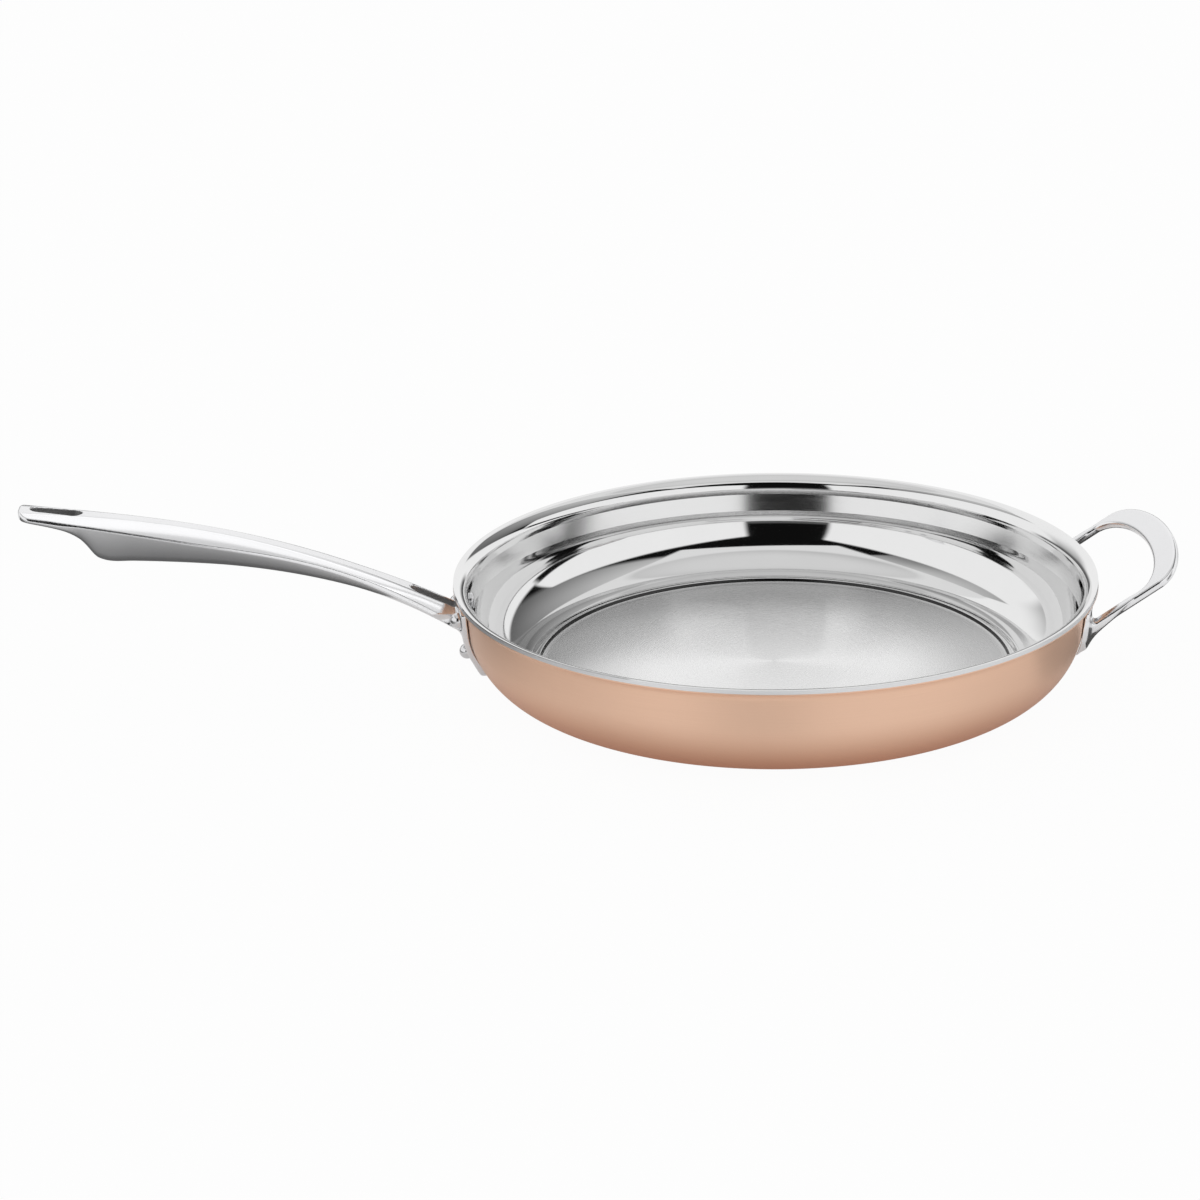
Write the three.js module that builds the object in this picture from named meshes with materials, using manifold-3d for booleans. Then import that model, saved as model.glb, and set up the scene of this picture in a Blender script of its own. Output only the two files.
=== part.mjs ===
// A large clad frying pan with a cast long handle and a cast helper loop.
// Millimetres, +Z up. The origin is the centre of the underside, and the long handle points along -X.
import * as THREE from 'three';
import { mergeVertices } from 'three/addons/utils/BufferGeometryUtils.js';
import Module from 'manifold-3d';

const { degToRad, lerp } = THREE.MathUtils;
const { sin, cos, tan, sqrt, acos, asin, atan2, min, PI } = Math;

// Pan body
const RIM_RADIUS = 156;
const PAN_HEIGHT = 50;
const WALL_LEAN = degToRad(5);    // from upright
const BEND_RUN = 28;              // the bend from base to wall is part of an oval of this half width
const BEND_RISE = 33;             // and this half height, outside
const LIP_BEND = 5.2;             // radius of the lip's hollow, outer side
const LIP_LEAN = degToRad(86);    // where the lip is cut off
const STEEL_PLY = 0.5;
const CORE_PLY = 1.6;
const COPPER_PLY = 0.5;
const BOND_LINE = 0.02;

// Clearances
const SEAT_GAP = 0.3;             // between parts that lie against each other
const HOLE_CLEARANCE = 0.3;       // round a rivet's shank
const HEAD_CLEARANCE = 0.8;       // round a rivet's outer head

// Rivets
const SHANK_RADIUS = 2.5;
const INNER_HEAD_RADIUS = 4;
const INNER_HEAD_HEIGHT = 2;
const OUTER_HEAD_RADIUS = 3.8;
const OUTER_HEAD_HEIGHT = 4.6;
const HEAD_EDGE = 0.8;            // upright edge under a head's dome
const UPPER_ROW_DROP = 13.5;      // upper row below the rim
const ROW_PITCH = 19.5;
const UPPER_SPREAD = 25;          // between the two upper rivets

// Bracket plate of the long handle
const PLATE_THICKNESS = 3;
const PLATE_TOP_MARGIN = 5;       // above the upper row
const PLATE_TOP_HALF = 18;
const PLATE_TAIL_HALF = 9;
const PLATE_SHOULDER = 8;         // below the upper row
const PLATE_TAIL = 12.5;          // below the lower row
const PLATE_CORNER = 4;
const TAIL_STRAIGHT = 0.5;        // below the lower row, where the plate stops following the wall

// Long handle: distances run out from the bracket's face, heights up from the upper rivet row
const HANDLE_REACH = 205.8;
const HANDLE_RISE = 62;
const ROOT_TOP = 2.7;
const ROOT_PULL = [80.8, 44.5];   // shapes the curve of the top face near the pan
const TIP_PULL = [75, 9.5];       // and near the tip: back from it and down
const ROOT_EMBED = 14;
const TIP_CORNER = 7;
const TIP_HALF = 10;
const NECK_AT = 50.8;
const NECK_HALF = 8.6;
const GRIP_AT = 125.8;
const GRIP_HALF = 11;
const ROOT_HALF = 11.3;
const TOP_FACE_HALF = 4;
const FORK_FACE_HALF = 5.3;
const ROOT_CREASE = 7;            // drop from the top face to the crease
const NECK_CREASE = 3.2;
const GRIP_CREASE = 5.8;
const TIP_CREASE = 2.3;
const ROOT_DEPTH = 10.5;          // drop from the top face to the keel
const FORK_DEPTH = 8.8;
const NECK_DEPTH = 9.8;
const KEEL_DEPTH = 22;
const TAB_DEPTH = 4.4;
const ROOT_KEEL_HALF = 9.6;
const NECK_KEEL_HALF = 6;
const GRIP_KEEL_HALF = 4.2;
const TAB_KEEL_HALF = 8.6;
const KEEL_ROUND = 1.5;
const TOE_FROM_TIP = 36;          // where the keel ends
const SWOOP = 16;                 // length of the hollow from the keel's toe to the tab
const SLOT_LENGTH = 22.3;
const SLOT_HALF = 4.4;
const HOLE_FROM_TIP = 5.5;
const HOLE_LENGTH = 24;
const HOLE_INNER_RADIUS = 4.4;
const HOLE_TIP_RADIUS = 3.3;

// Helper loop: its top face lies in a plane that rises from the wall
const HELPER_DROP = 13.3;         // where that plane meets the wall, below the rim
const HELPER_TILT = degToRad(33);
const HELPER_REACH = 50.6;
const HELPER_HALF_SPAN = 50.6;
const HELPER_THICKNESS = 4;
const LEG_WIDTH = 4.2;
const BOW_WIDTH = 12.6;
const BOW_OUTER_RISE = 19.6;
const BOW_INNER_RISE = 17;
const LEG_EMBED = 30;
const FOOT_THICKNESS = 2.5;
const FOOT_WIDTH = 18;
const FOOT_OVERHANG = 2.2;        // outside the leg
const FOOT_ABOVE = 4.5;           // above the helper plane's line on the wall
const FOOT_BELOW = 15.2;
const FOOT_CORNER = 4;
const GUSSET_RUN = 16;

// Facets
const PAN_SIDES = 72;
const BEND_STEPS = 7;
const LIP_STEPS = 4;
const RIVET_SIDES = 16;
const DOME_STEPS = 3;
const CURVE_STEPS = 12;
const STATION_STEP = 9;

const wasm = await Module();
wasm.setup();

// A closed mesh with its shared corners merged, as a solid that can be joined and cut
function solid(geometry) {
  const bare = geometry.clone();
  bare.deleteAttribute('normal');
  bare.deleteAttribute('uv');
  const merged = mergeVertices(bare, 1e-4);
  const corners = merged.index.array;
  const triangles = [];
  for (let i = 0; i < corners.length; i += 3) {
    const [a, b, c] = [corners[i], corners[i + 1], corners[i + 2]];
    if (a !== b && b !== c && c !== a) {
      triangles.push(a, b, c);
    }
  }
  return new wasm.Manifold(new wasm.Mesh({
    numProp: 3,
    vertProperties: merged.attributes.position.array,
    triVerts: new Uint32Array(triangles),
  }));
}

function geometryOf(body) {
  const mesh = body.getMesh();
  const geometry = new THREE.BufferGeometry();
  geometry.setAttribute('position', new THREE.BufferAttribute(mesh.vertProperties, 3));
  geometry.setIndex(new THREE.BufferAttribute(mesh.triVerts, 1));
  geometry.computeVertexNormals();
  return geometry;
}

// Turns a profile of [radius, height] pairs about Z
function turned(profile, sides) {
  const points = profile.map(([r, z]) => new THREE.Vector2(r, z));
  return new THREE.LatheGeometry(points, sides).rotateX(PI / 2);
}

// Pushes a shape drawn on the axes u and v along their normal, from one depth to another
function pushed(shape, u, v, from, to) {
  const geometry = new THREE.ExtrudeGeometry(shape, {
    depth: to - from,
    bevelEnabled: false,
    curveSegments: CURVE_STEPS,
  });
  geometry.translate(0, 0, from);
  const normal = new THREE.Vector3().crossVectors(u, v);
  return geometry.applyMatrix4(new THREE.Matrix4().makeBasis(u, v, normal));
}

const ALONG_X = new THREE.Vector3(1, 0, 0);
const ALONG_Y = new THREE.Vector3(0, 1, 0);
const ALONG_Z = new THREE.Vector3(0, 0, 1);

// A polygon with its corners rounded
function roundedShape(corners, radius) {
  const shape = new THREE.Shape();
  const points = corners.map(([x, y]) => new THREE.Vector2(x, y));
  points.forEach((corner, i) => {
    const before = points.at(i - 1);
    const after = points[(i + 1) % points.length];
    const reach = min(radius, corner.distanceTo(before) / 2, corner.distanceTo(after) / 2);
    const enter = before.clone().sub(corner).setLength(reach).add(corner);
    const leave = after.clone().sub(corner).setLength(reach).add(corner);
    if (i === 0) {
      shape.moveTo(enter.x, enter.y);
    } else {
      shape.lineTo(enter.x, enter.y);
    }
    shape.quadraticCurveTo(corner.x, corner.y, leave.x, leave.y);
  });
  return shape;
}

// A smooth value along a distance, through [distance, value] pairs
function smoothLine(pairs) {
  const slope = (i) => {
    const before = pairs[Math.max(i - 1, 0)];
    const after = pairs[min(i + 1, pairs.length - 1)];
    return (after[1] - before[1]) / (after[0] - before[0]);
  };
  return (at) => {
    let i = 0;
    while (i < pairs.length - 2 && at > pairs[i + 1][0]) {
      i += 1;
    }
    const [[x0, y0], [x1, y1]] = [pairs[i], pairs[i + 1]];
    const span = x1 - x0;
    const t = (at - x0) / span;
    const ease = t * t * (3 - 2 * t);
    const start = t * (1 - t) * (1 - t) * span * slope(i);
    const end = t * t * (t - 1) * span * slope(i + 1);
    return lerp(y0, y1, ease) + start + end;
  };
}

// Pan section: base flat, oval bend, straight wall, lip.
// An angle of the oval itself, where the bend has turned up from the base by a turn.
function ovalAngle(turn) {
  return atan2(BEND_RUN * sin(turn), BEND_RISE * cos(turn));
}

// How far the bend has turned up at a height
function turnAt(height) {
  const angle = acos(1 - height / BEND_RISE);
  return atan2(BEND_RISE * sin(angle), BEND_RUN * cos(angle));
}

const THICKNESS = COPPER_PLY + CORE_PLY + STEEL_PLY + 2 * BOND_LINE;
const BEND_TURN = PI / 2 - WALL_LEAN;
const LIP_RISE = LIP_BEND * (sin(LIP_LEAN) - sin(WALL_LEAN)) + THICKNESS * sin(LIP_LEAN);
const WALL_FOOT = BEND_RISE * (1 - cos(ovalAngle(BEND_TURN)));
const WALL_RISE = PAN_HEIGHT - WALL_FOOT - LIP_RISE;
const LIP_OVERHANG = LIP_BEND * (cos(WALL_LEAN) - cos(LIP_LEAN));
const WALL_TOP_RADIUS = RIM_RADIUS - LIP_OVERHANG;
const WALL_FOOT_RADIUS = WALL_TOP_RADIUS - WALL_RISE * tan(WALL_LEAN);
const BASE_RADIUS = WALL_FOOT_RADIUS - BEND_RUN * sin(ovalAngle(BEND_TURN));
const LIP_CENTRE_RADIUS = WALL_TOP_RADIUS + LIP_BEND * cos(WALL_LEAN);
const LIP_CENTRE_HEIGHT = WALL_FOOT + WALL_RISE - LIP_BEND * sin(WALL_LEAN);

function bendPoint(depth, turn) {
  const angle = ovalAngle(turn);
  return [
    BASE_RADIUS + BEND_RUN * sin(angle) - depth * sin(turn),
    BEND_RISE * (1 - cos(angle)) + depth * cos(turn),
  ];
}

function lipPoint(depth, lean) {
  const radius = LIP_BEND + depth;
  return [LIP_CENTRE_RADIUS - radius * cos(lean), LIP_CENTRE_HEIGHT + radius * sin(lean)];
}

// The surface at a depth inside the pan's outer face, from the axis to the cut edge of the lip
function surface(depth) {
  const points = [[0, depth]];
  for (let i = 0; i <= BEND_STEPS; i += 1) {
    points.push(bendPoint(depth, BEND_TURN * i / BEND_STEPS));
  }
  for (let i = 0; i <= LIP_STEPS; i += 1) {
    points.push(lipPoint(depth, lerp(WALL_LEAN, LIP_LEAN, i / LIP_STEPS)));
  }
  return points;
}

function ply(depth, thickness) {
  const profile = [...surface(depth), ...surface(depth + thickness).reverse()];
  return solid(turned(profile, PAN_SIDES));
}

function wallRadius(height) {
  if (height < WALL_FOOT) {
    return bendPoint(0, turnAt(height))[0];
  }
  return WALL_FOOT_RADIUS + (height - WALL_FOOT) * tan(WALL_LEAN);
}

function wallLean(height) {
  return height < WALL_FOOT ? PI / 2 - turnAt(height) : WALL_LEAN;
}

const UPPER_ROW = PAN_HEIGHT - UPPER_ROW_DROP;
const LOWER_ROW = UPPER_ROW - ROW_PITCH;
const HELPER_LINE = PAN_HEIGHT - HELPER_DROP;

// All that lies inside the pan's wall, grown outwards. What is bolted on is shaped and cut by it.
// It follows the bend down to the bracket's tail and then runs on straight.
function wallBlock(grow) {
  const runOn = PAN_HEIGHT;
  const tailTurn = min(turnAt(LOWER_ROW - TAIL_STRAIGHT), BEND_TURN);
  const points = [];
  for (let i = 0; i <= BEND_STEPS; i += 1) {
    points.push(bendPoint(-grow, lerp(tailTurn, BEND_TURN, i / BEND_STEPS)));
  }
  const [tailRadius, tailHeight] = points[0];
  const [topRadius, topHeight] = points.at(-1);
  points.unshift([tailRadius - runOn * cos(tailTurn), tailHeight - runOn * sin(tailTurn)]);
  points.push([topRadius + runOn * tan(WALL_LEAN), topHeight + runOn]);
  return solid(turned([[0, points[0][1]], ...points, [0, points.at(-1)[1]]], PAN_SIDES));
}

// Where a rivet crosses the pan's outer face, with its Z axis square to the wall and pointing out
function rivetPlace(across, height) {
  const radius = wallRadius(height);
  const around = asin(across / radius);
  const lean = wallLean(height);
  const out = new THREE.Vector3(-cos(lean) * cos(around), cos(lean) * sin(around), -sin(lean));
  const side = new THREE.Vector3(sin(around), cos(around), 0);
  const place = new THREE.Matrix4().makeBasis(side, new THREE.Vector3().crossVectors(out, side), out);
  return place.setPosition(-radius * cos(around), across, height);
}

// Room for the bend's inner face, which curls up under a flat head
function headLift(height) {
  const bend = BEND_RUN - THICKNESS;
  return height < WALL_FOOT ? bend - sqrt(bend ** 2 - INNER_HEAD_RADIUS ** 2) : 0;
}

const RIVETS = [
  ['upper_rivet_front', -UPPER_SPREAD / 2, UPPER_ROW],
  ['upper_rivet_back', UPPER_SPREAD / 2, UPPER_ROW],
  ['lower_rivet', 0, LOWER_ROW],
].map(([name, across, height]) => ({
  name,
  place: rivetPlace(across, height),
  innerSeat: -THICKNESS - SEAT_GAP - headLift(height),
}));
const PLATE_FACE = SEAT_GAP + PLATE_THICKNESS;
const OUTER_SEAT = PLATE_FACE + SEAT_GAP;

// Half a dome's outline from its edge to its crown, as [radius, height] pairs
function dome(radius, height) {
  const rise = height - HEAD_EDGE;
  const points = [[radius, 0]];
  for (let i = 0; i < DOME_STEPS; i += 1) {
    const angle = (PI / 2) * (i / DOME_STEPS);
    points.push([radius * cos(angle), HEAD_EDGE + rise * sin(angle)]);
  }
  return [...points, [0, height]];
}

function rivetGeometry(innerSeat) {
  const inner = dome(INNER_HEAD_RADIUS, INNER_HEAD_HEIGHT).map(([r, h]) => [r, innerSeat - h]);
  const outer = dome(OUTER_HEAD_RADIUS, OUTER_HEAD_HEIGHT).map(([r, h]) => [r, OUTER_SEAT + h]);
  const shank = [[SHANK_RADIUS, innerSeat], [SHANK_RADIUS, OUTER_SEAT]];
  return turned([...inner.reverse(), ...shank, ...outer], RIVET_SIDES);
}

// A round cutter on a rivet's axis
function rivetCutter(place, radius, from, to) {
  const profile = [[0, from], [radius, from], [radius, to], [0, to]];
  return solid(turned(profile, RIVET_SIDES).applyMatrix4(place));
}

function drilled(body) {
  const radius = SHANK_RADIUS + HOLE_CLEARANCE;
  return RIVETS.reduce((left, { place, innerSeat }) => (
    left.subtract(rivetCutter(place, radius, innerSeat - INNER_HEAD_HEIGHT, OUTER_SEAT + OUTER_HEAD_HEIGHT))
  ), body);
}

// Long handle
const ROOT_RADIUS = wallRadius(UPPER_ROW) + PLATE_FACE / cos(WALL_LEAN);
const TOE_AT = HANDLE_REACH - TOE_FROM_TIP;
const TOP_LINE = new THREE.CubicBezierCurve(
  new THREE.Vector2(0, ROOT_TOP),
  new THREE.Vector2(...ROOT_PULL),
  new THREE.Vector2(HANDLE_REACH - TIP_PULL[0], HANDLE_RISE - TIP_PULL[1]),
  new THREE.Vector2(HANDLE_REACH, HANDLE_RISE),
);
const faceHalf = smoothLine([
  [0, FORK_FACE_HALF], [SLOT_LENGTH, FORK_FACE_HALF], [NECK_AT, TOP_FACE_HALF], [HANDLE_REACH, TOP_FACE_HALF],
]);
const creaseHalf = smoothLine([
  [0, ROOT_HALF], [NECK_AT, NECK_HALF], [GRIP_AT, GRIP_HALF], [HANDLE_REACH, TIP_HALF],
]);
const creaseDrop = smoothLine([
  [0, ROOT_CREASE], [NECK_AT, NECK_CREASE], [GRIP_AT, GRIP_CREASE], [HANDLE_REACH, TIP_CREASE],
]);
const keelDrop = smoothLine([
  [0, ROOT_DEPTH], [SLOT_LENGTH, FORK_DEPTH], [NECK_AT, NECK_DEPTH], [TOE_AT - SWOOP, KEEL_DEPTH],
  [TOE_AT, KEEL_DEPTH], [TOE_AT + SWOOP / 2, lerp(TAB_DEPTH, KEEL_DEPTH, 0.45)],
  [TOE_AT + SWOOP, lerp(TAB_DEPTH, KEEL_DEPTH, 0.18)], [HANDLE_REACH, TAB_DEPTH],
]);
const keelHalf = smoothLine([
  [0, ROOT_KEEL_HALF], [NECK_AT, NECK_KEEL_HALF], [GRIP_AT, GRIP_KEEL_HALF], [TOE_AT, GRIP_KEEL_HALF],
  [TOE_AT + SWOOP, TAB_KEEL_HALF], [HANDLE_REACH, TAB_KEEL_HALF],
]);

// The top face's height at a distance out, straight on past the bracket's face
function topHeight(out) {
  if (out <= 0) {
    return ROOT_TOP + out * ROOT_PULL[1] / ROOT_PULL[0];
  }
  let [low, high] = [0, 1];
  while (high - low > 1e-6) {
    const middle = (low + high) / 2;
    if (TOP_LINE.getPoint(middle).x < out) {
      low = middle;
    } else {
      high = middle;
    }
  }
  return TOP_LINE.getPoint(high).y;
}

// The tip's round corners, seen from above
function tipLimit(out) {
  const past = out - (HANDLE_REACH - TIP_CORNER);
  const inset = TIP_CORNER - sqrt(Math.max(TIP_CORNER ** 2 - past ** 2, 0));
  return past > 0 ? TIP_HALF - inset : Infinity;
}

// One section of the handle, round from the front of its top face
function handleSection(out) {
  const at = Math.max(out, 0);
  const limit = tipLimit(out);
  const top = UPPER_ROW + topHeight(out);
  const drop = keelDrop(at);
  const round = min(KEEL_ROUND, (drop - creaseDrop(at)) / 2);
  const keel = min(keelHalf(at), limit);
  const half = [
    [min(faceHalf(at), limit), top],
    [min(creaseHalf(at), limit), top - creaseDrop(at)],
    [keel, top - drop + round],
    [keel - min(round, keel / 2), top - drop],
  ];
  const x = -ROOT_RADIUS - out;
  const front = half.map(([w, z]) => [x, -w, z]);
  const back = half.map(([w, z]) => [x, w, z]);
  return [...front, ...back.reverse()];
}

function handleStations() {
  const stations = [-ROOT_EMBED];
  const last = TOE_AT - SWOOP;
  const count = Math.ceil(last / STATION_STEP);
  for (let i = 0; i <= count; i += 1) {
    stations.push(last * i / count);
  }
  const toeSteps = 8;
  for (let i = 1; i <= toeSteps * 2; i += 1) {
    stations.push(last + SWOOP * i / toeSteps);
  }
  const cornerAt = HANDLE_REACH - TIP_CORNER;
  stations.push(cornerAt);
  for (let i = 1; i <= CURVE_STEPS / 2; i += 1) {
    stations.push(cornerAt + TIP_CORNER * sin((PI / 2) * i / (CURVE_STEPS / 2)));
  }
  return stations;
}

// Joins rings of points into a closed skin, with a fan over each end
function lofted(rings) {
  const size = rings[0].length;
  const indices = [];
  for (let r = 0; r + 1 < rings.length; r += 1) {
    for (let i = 0; i < size; i += 1) {
      const [a, b] = [r * size + i, r * size + (i + 1) % size];
      indices.push(a, a + size, b, b, a + size, b + size);
    }
  }
  const end = (rings.length - 1) * size;
  for (let i = 1; i + 1 < size; i += 1) {
    indices.push(0, i, i + 1, end, end + i + 1, end + i);
  }
  const geometry = new THREE.BufferGeometry();
  geometry.setAttribute('position', new THREE.Float32BufferAttribute(rings.flat(2), 3));
  geometry.setIndex(indices);
  return geometry;
}

// The gap between the fork's prongs, seen from above, with a round end
function slotShape() {
  const end = -ROOT_RADIUS - SLOT_LENGTH + SLOT_HALF;
  const shape = new THREE.Shape();
  shape.moveTo(-BASE_RADIUS, -SLOT_HALF);
  shape.lineTo(-BASE_RADIUS, SLOT_HALF);
  shape.lineTo(end, SLOT_HALF);
  shape.absarc(end, 0, SLOT_HALF, PI / 2, 3 * PI / 2, false);
  return shape;
}

// The hang hole, seen from above: two round ends of unlike size and their tangents
function holeShape() {
  const tip = -ROOT_RADIUS - HANDLE_REACH + HOLE_FROM_TIP;
  const small = tip + HOLE_TIP_RADIUS;
  const large = tip + HOLE_LENGTH - HOLE_INNER_RADIUS;
  const tangent = acos((HOLE_TIP_RADIUS - HOLE_INNER_RADIUS) / (large - small));
  const shape = new THREE.Shape();
  shape.absarc(large, 0, HOLE_INNER_RADIUS, -tangent, tangent, false);
  shape.absarc(small, 0, HOLE_TIP_RADIUS, tangent, 2 * PI - tangent, false);
  return shape;
}

function plateShape() {
  const [top, shoulder] = [UPPER_ROW + PLATE_TOP_MARGIN, UPPER_ROW - PLATE_SHOULDER];
  const bottom = LOWER_ROW - PLATE_TAIL;
  return roundedShape([
    [-PLATE_TOP_HALF, top], [-PLATE_TOP_HALF, shoulder], [-PLATE_TAIL_HALF, bottom],
    [PLATE_TAIL_HALF, bottom], [PLATE_TOP_HALF, shoulder], [PLATE_TOP_HALF, top],
  ], PLATE_CORNER);
}

function longHandle() {
  const tall = PAN_HEIGHT + HANDLE_RISE;
  const slot = solid(pushed(slotShape(), ALONG_X, ALONG_Y, 0, tall));
  const hole = solid(pushed(holeShape(), ALONG_X, ALONG_Y, 0, tall));
  const plate = solid(pushed(plateShape(), ALONG_Y, ALONG_Z, -ROOT_RADIUS - BEND_RUN, -BASE_RADIUS));
  const arm = solid(lofted(handleStations().map(handleSection))).subtract(slot).subtract(hole);
  const cast = plate.intersect(wallBlock(PLATE_FACE)).add(arm).subtract(wallBlock(SEAT_GAP));
  const headRoom = OUTER_SEAT + 2 * OUTER_HEAD_HEIGHT;
  const scalloped = RIVETS.reduce((left, { place }) => (
    left.subtract(rivetCutter(place, OUTER_HEAD_RADIUS + HEAD_CLEARANCE, PLATE_FACE, headRoom))
  ), cast);
  return drilled(scalloped);
}

// Helper loop
const HELPER_RADIUS = wallRadius(HELPER_LINE);
const LEG_INNER_HALF = HELPER_HALF_SPAN - LEG_WIDTH;

function loopShape() {
  const outer = HELPER_REACH - BOW_OUTER_RISE;
  const inner = HELPER_REACH - BOW_WIDTH - BOW_INNER_RISE;
  const shape = new THREE.Shape();
  shape.moveTo(-HELPER_HALF_SPAN, -LEG_EMBED);
  shape.lineTo(-HELPER_HALF_SPAN, outer);
  shape.absellipse(0, outer, HELPER_HALF_SPAN, BOW_OUTER_RISE, PI, 0, true);
  shape.lineTo(HELPER_HALF_SPAN, -LEG_EMBED);
  shape.lineTo(LEG_INNER_HALF, -LEG_EMBED);
  shape.lineTo(LEG_INNER_HALF, inner);
  shape.absellipse(0, inner, LEG_INNER_HALF, BOW_INNER_RISE, 0, PI, false);
  shape.lineTo(-LEG_INNER_HALF, -LEG_EMBED);
  return shape;
}

// A foot's outline on the wall and the gusset under its leg. side is -1 in front and 1 behind.
function helperFoot(side) {
  const [low, high] = [HELPER_LINE - FOOT_BELOW, HELPER_LINE + FOOT_ABOVE];
  const edge = HELPER_HALF_SPAN + FOOT_OVERHANG;
  const spread = [side * (edge - FOOT_WIDTH), side * edge];
  const [left, right] = [min(...spread), Math.max(...spread)];
  const outline = roundedShape([[left, low], [right, low], [right, high], [left, high]], FOOT_CORNER);
  const plate = solid(pushed(outline, ALONG_Y, ALONG_Z, BASE_RADIUS / 2, RIM_RADIUS));

  const footX = sqrt((wallRadius(low) + SEAT_GAP + FOOT_THICKNESS) ** 2 - HELPER_HALF_SPAN ** 2);
  const underside = (x) => HELPER_LINE + (x - HELPER_RADIUS) * tan(HELPER_TILT) - HELPER_THICKNESS / 2;
  const [near, far] = [footX - 2 * FOOT_THICKNESS, footX + GUSSET_RUN];
  const web = new THREE.Shape();
  web.moveTo(near, low);
  web.lineTo(footX, low);
  web.lineTo(far, underside(far));
  web.lineTo(near, underside(near));
  const legs = [side * LEG_INNER_HALF, side * HELPER_HALF_SPAN].map((y) => -y);
  const gusset = solid(pushed(web, ALONG_X, ALONG_Z, min(...legs), Math.max(...legs)));
  return plate.intersect(wallBlock(SEAT_GAP + FOOT_THICKNESS)).add(gusset);
}

function helperHandle() {
  const rising = new THREE.Vector3(cos(HELPER_TILT), 0, sin(HELPER_TILT));
  const band = pushed(loopShape(), ALONG_Y, rising, 0, HELPER_THICKNESS);
  band.translate(HELPER_RADIUS, 0, HELPER_LINE);
  return solid(band).add(helperFoot(-1)).add(helperFoot(1)).subtract(wallBlock(SEAT_GAP));
}

// Finishes
const polishedSteel = new THREE.MeshStandardMaterial({ color: 0xd9dadc, roughness: 0.12, metalness: 1 });
const brushedSteel = new THREE.MeshStandardMaterial({ color: 0xcfd0d1, roughness: 0.3, metalness: 1 });
const bareAluminium = new THREE.MeshStandardMaterial({ color: 0xc4c6c8, roughness: 0.4, metalness: 1 });
const brushedCopper = new THREE.MeshStandardMaterial({ color: 0xd8a583, roughness: 0.35, metalness: 1 });

const skillet = new THREE.Group();

function addPiece(name, geometry, material) {
  const mesh = new THREE.Mesh(geometry, material);
  mesh.name = name;
  skillet.add(mesh);
  return mesh;
}

const CORE_DEPTH = COPPER_PLY + BOND_LINE;
const STEEL_DEPTH = CORE_DEPTH + CORE_PLY + BOND_LINE;
addPiece('copper_jacket', geometryOf(drilled(ply(0, COPPER_PLY))), brushedCopper);
addPiece('aluminium_core', geometryOf(drilled(ply(CORE_DEPTH, CORE_PLY))), bareAluminium);
addPiece('steel_liner', geometryOf(drilled(ply(STEEL_DEPTH, STEEL_PLY))), brushedSteel);
addPiece('long_handle', geometryOf(longHandle()), polishedSteel);
addPiece('helper_handle', geometryOf(helperHandle()), polishedSteel);
for (const { name, place, innerSeat } of RIVETS) {
  const rivet = addPiece(name, geometryOf(solid(rivetGeometry(innerSeat))), polishedSteel);
  rivet.applyMatrix4(place);
}

export default skillet;
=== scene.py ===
"""The looks of a large copper-clad skillet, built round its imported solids.

Sizes are written in millimetres, as in the part's source, and pieces are made in metres.
The long handle points along -X and the helper loop along +X.
"""
import math

import bpy
import numpy as np
from mathutils import Matrix, Vector


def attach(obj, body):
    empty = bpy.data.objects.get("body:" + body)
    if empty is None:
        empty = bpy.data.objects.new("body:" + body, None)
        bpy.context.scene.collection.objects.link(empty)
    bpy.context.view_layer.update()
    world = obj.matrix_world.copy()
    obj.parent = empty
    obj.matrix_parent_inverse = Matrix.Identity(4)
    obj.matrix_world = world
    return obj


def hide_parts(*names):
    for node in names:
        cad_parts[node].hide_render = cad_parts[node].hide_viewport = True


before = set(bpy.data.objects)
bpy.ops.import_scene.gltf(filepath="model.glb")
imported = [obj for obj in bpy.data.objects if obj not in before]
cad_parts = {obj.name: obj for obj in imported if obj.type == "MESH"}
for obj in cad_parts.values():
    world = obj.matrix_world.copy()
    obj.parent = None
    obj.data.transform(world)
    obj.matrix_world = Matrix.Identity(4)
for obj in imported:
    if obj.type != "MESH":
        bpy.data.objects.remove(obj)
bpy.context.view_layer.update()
MM = 0.001

# Pan body
RIM_RADIUS = 156.0
PAN_HEIGHT = 50.0
WALL_LEAN = math.radians(5)
BEND_RUN = 28.0             # the bend from base to wall is part of an oval of this half width
BEND_RISE = 33.0            # and this half height, outside
LIP_BEND = 5.2
LIP_LEAN = math.radians(86)
STEEL_PLY = 0.5
CORE_PLY = 1.6
COPPER_PLY = 0.5
BOND_LINE = 0.02
FLOOR_DISC = 115.0          # radius of the brushed floor
BEAD_RUN = 1.1              # a low bead stands round the floor, steep on its inner side
BEAD_RISE = 1.6
SATIN_FOOT, SATIN_TOP = 31.4, 40.4
SATIN_LEAN = 0.19           # the satin band leans out further than the wall round it
PAINTED_SHADE_SHARE = 0.8            # the bead's inner side is painted near black, as painted shade, over this share of its run


def oval_angle(turn):
    """An angle of the oval itself, where the bend has turned up from the base by a turn."""
    return math.atan2(BEND_RUN * math.sin(turn), BEND_RISE * math.cos(turn))


def turn_at(height):
    """How far the bend has turned up at a height."""
    angle = math.acos(1 - height / BEND_RISE)
    return math.atan2(BEND_RISE * math.sin(angle), BEND_RUN * math.cos(angle))


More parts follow.
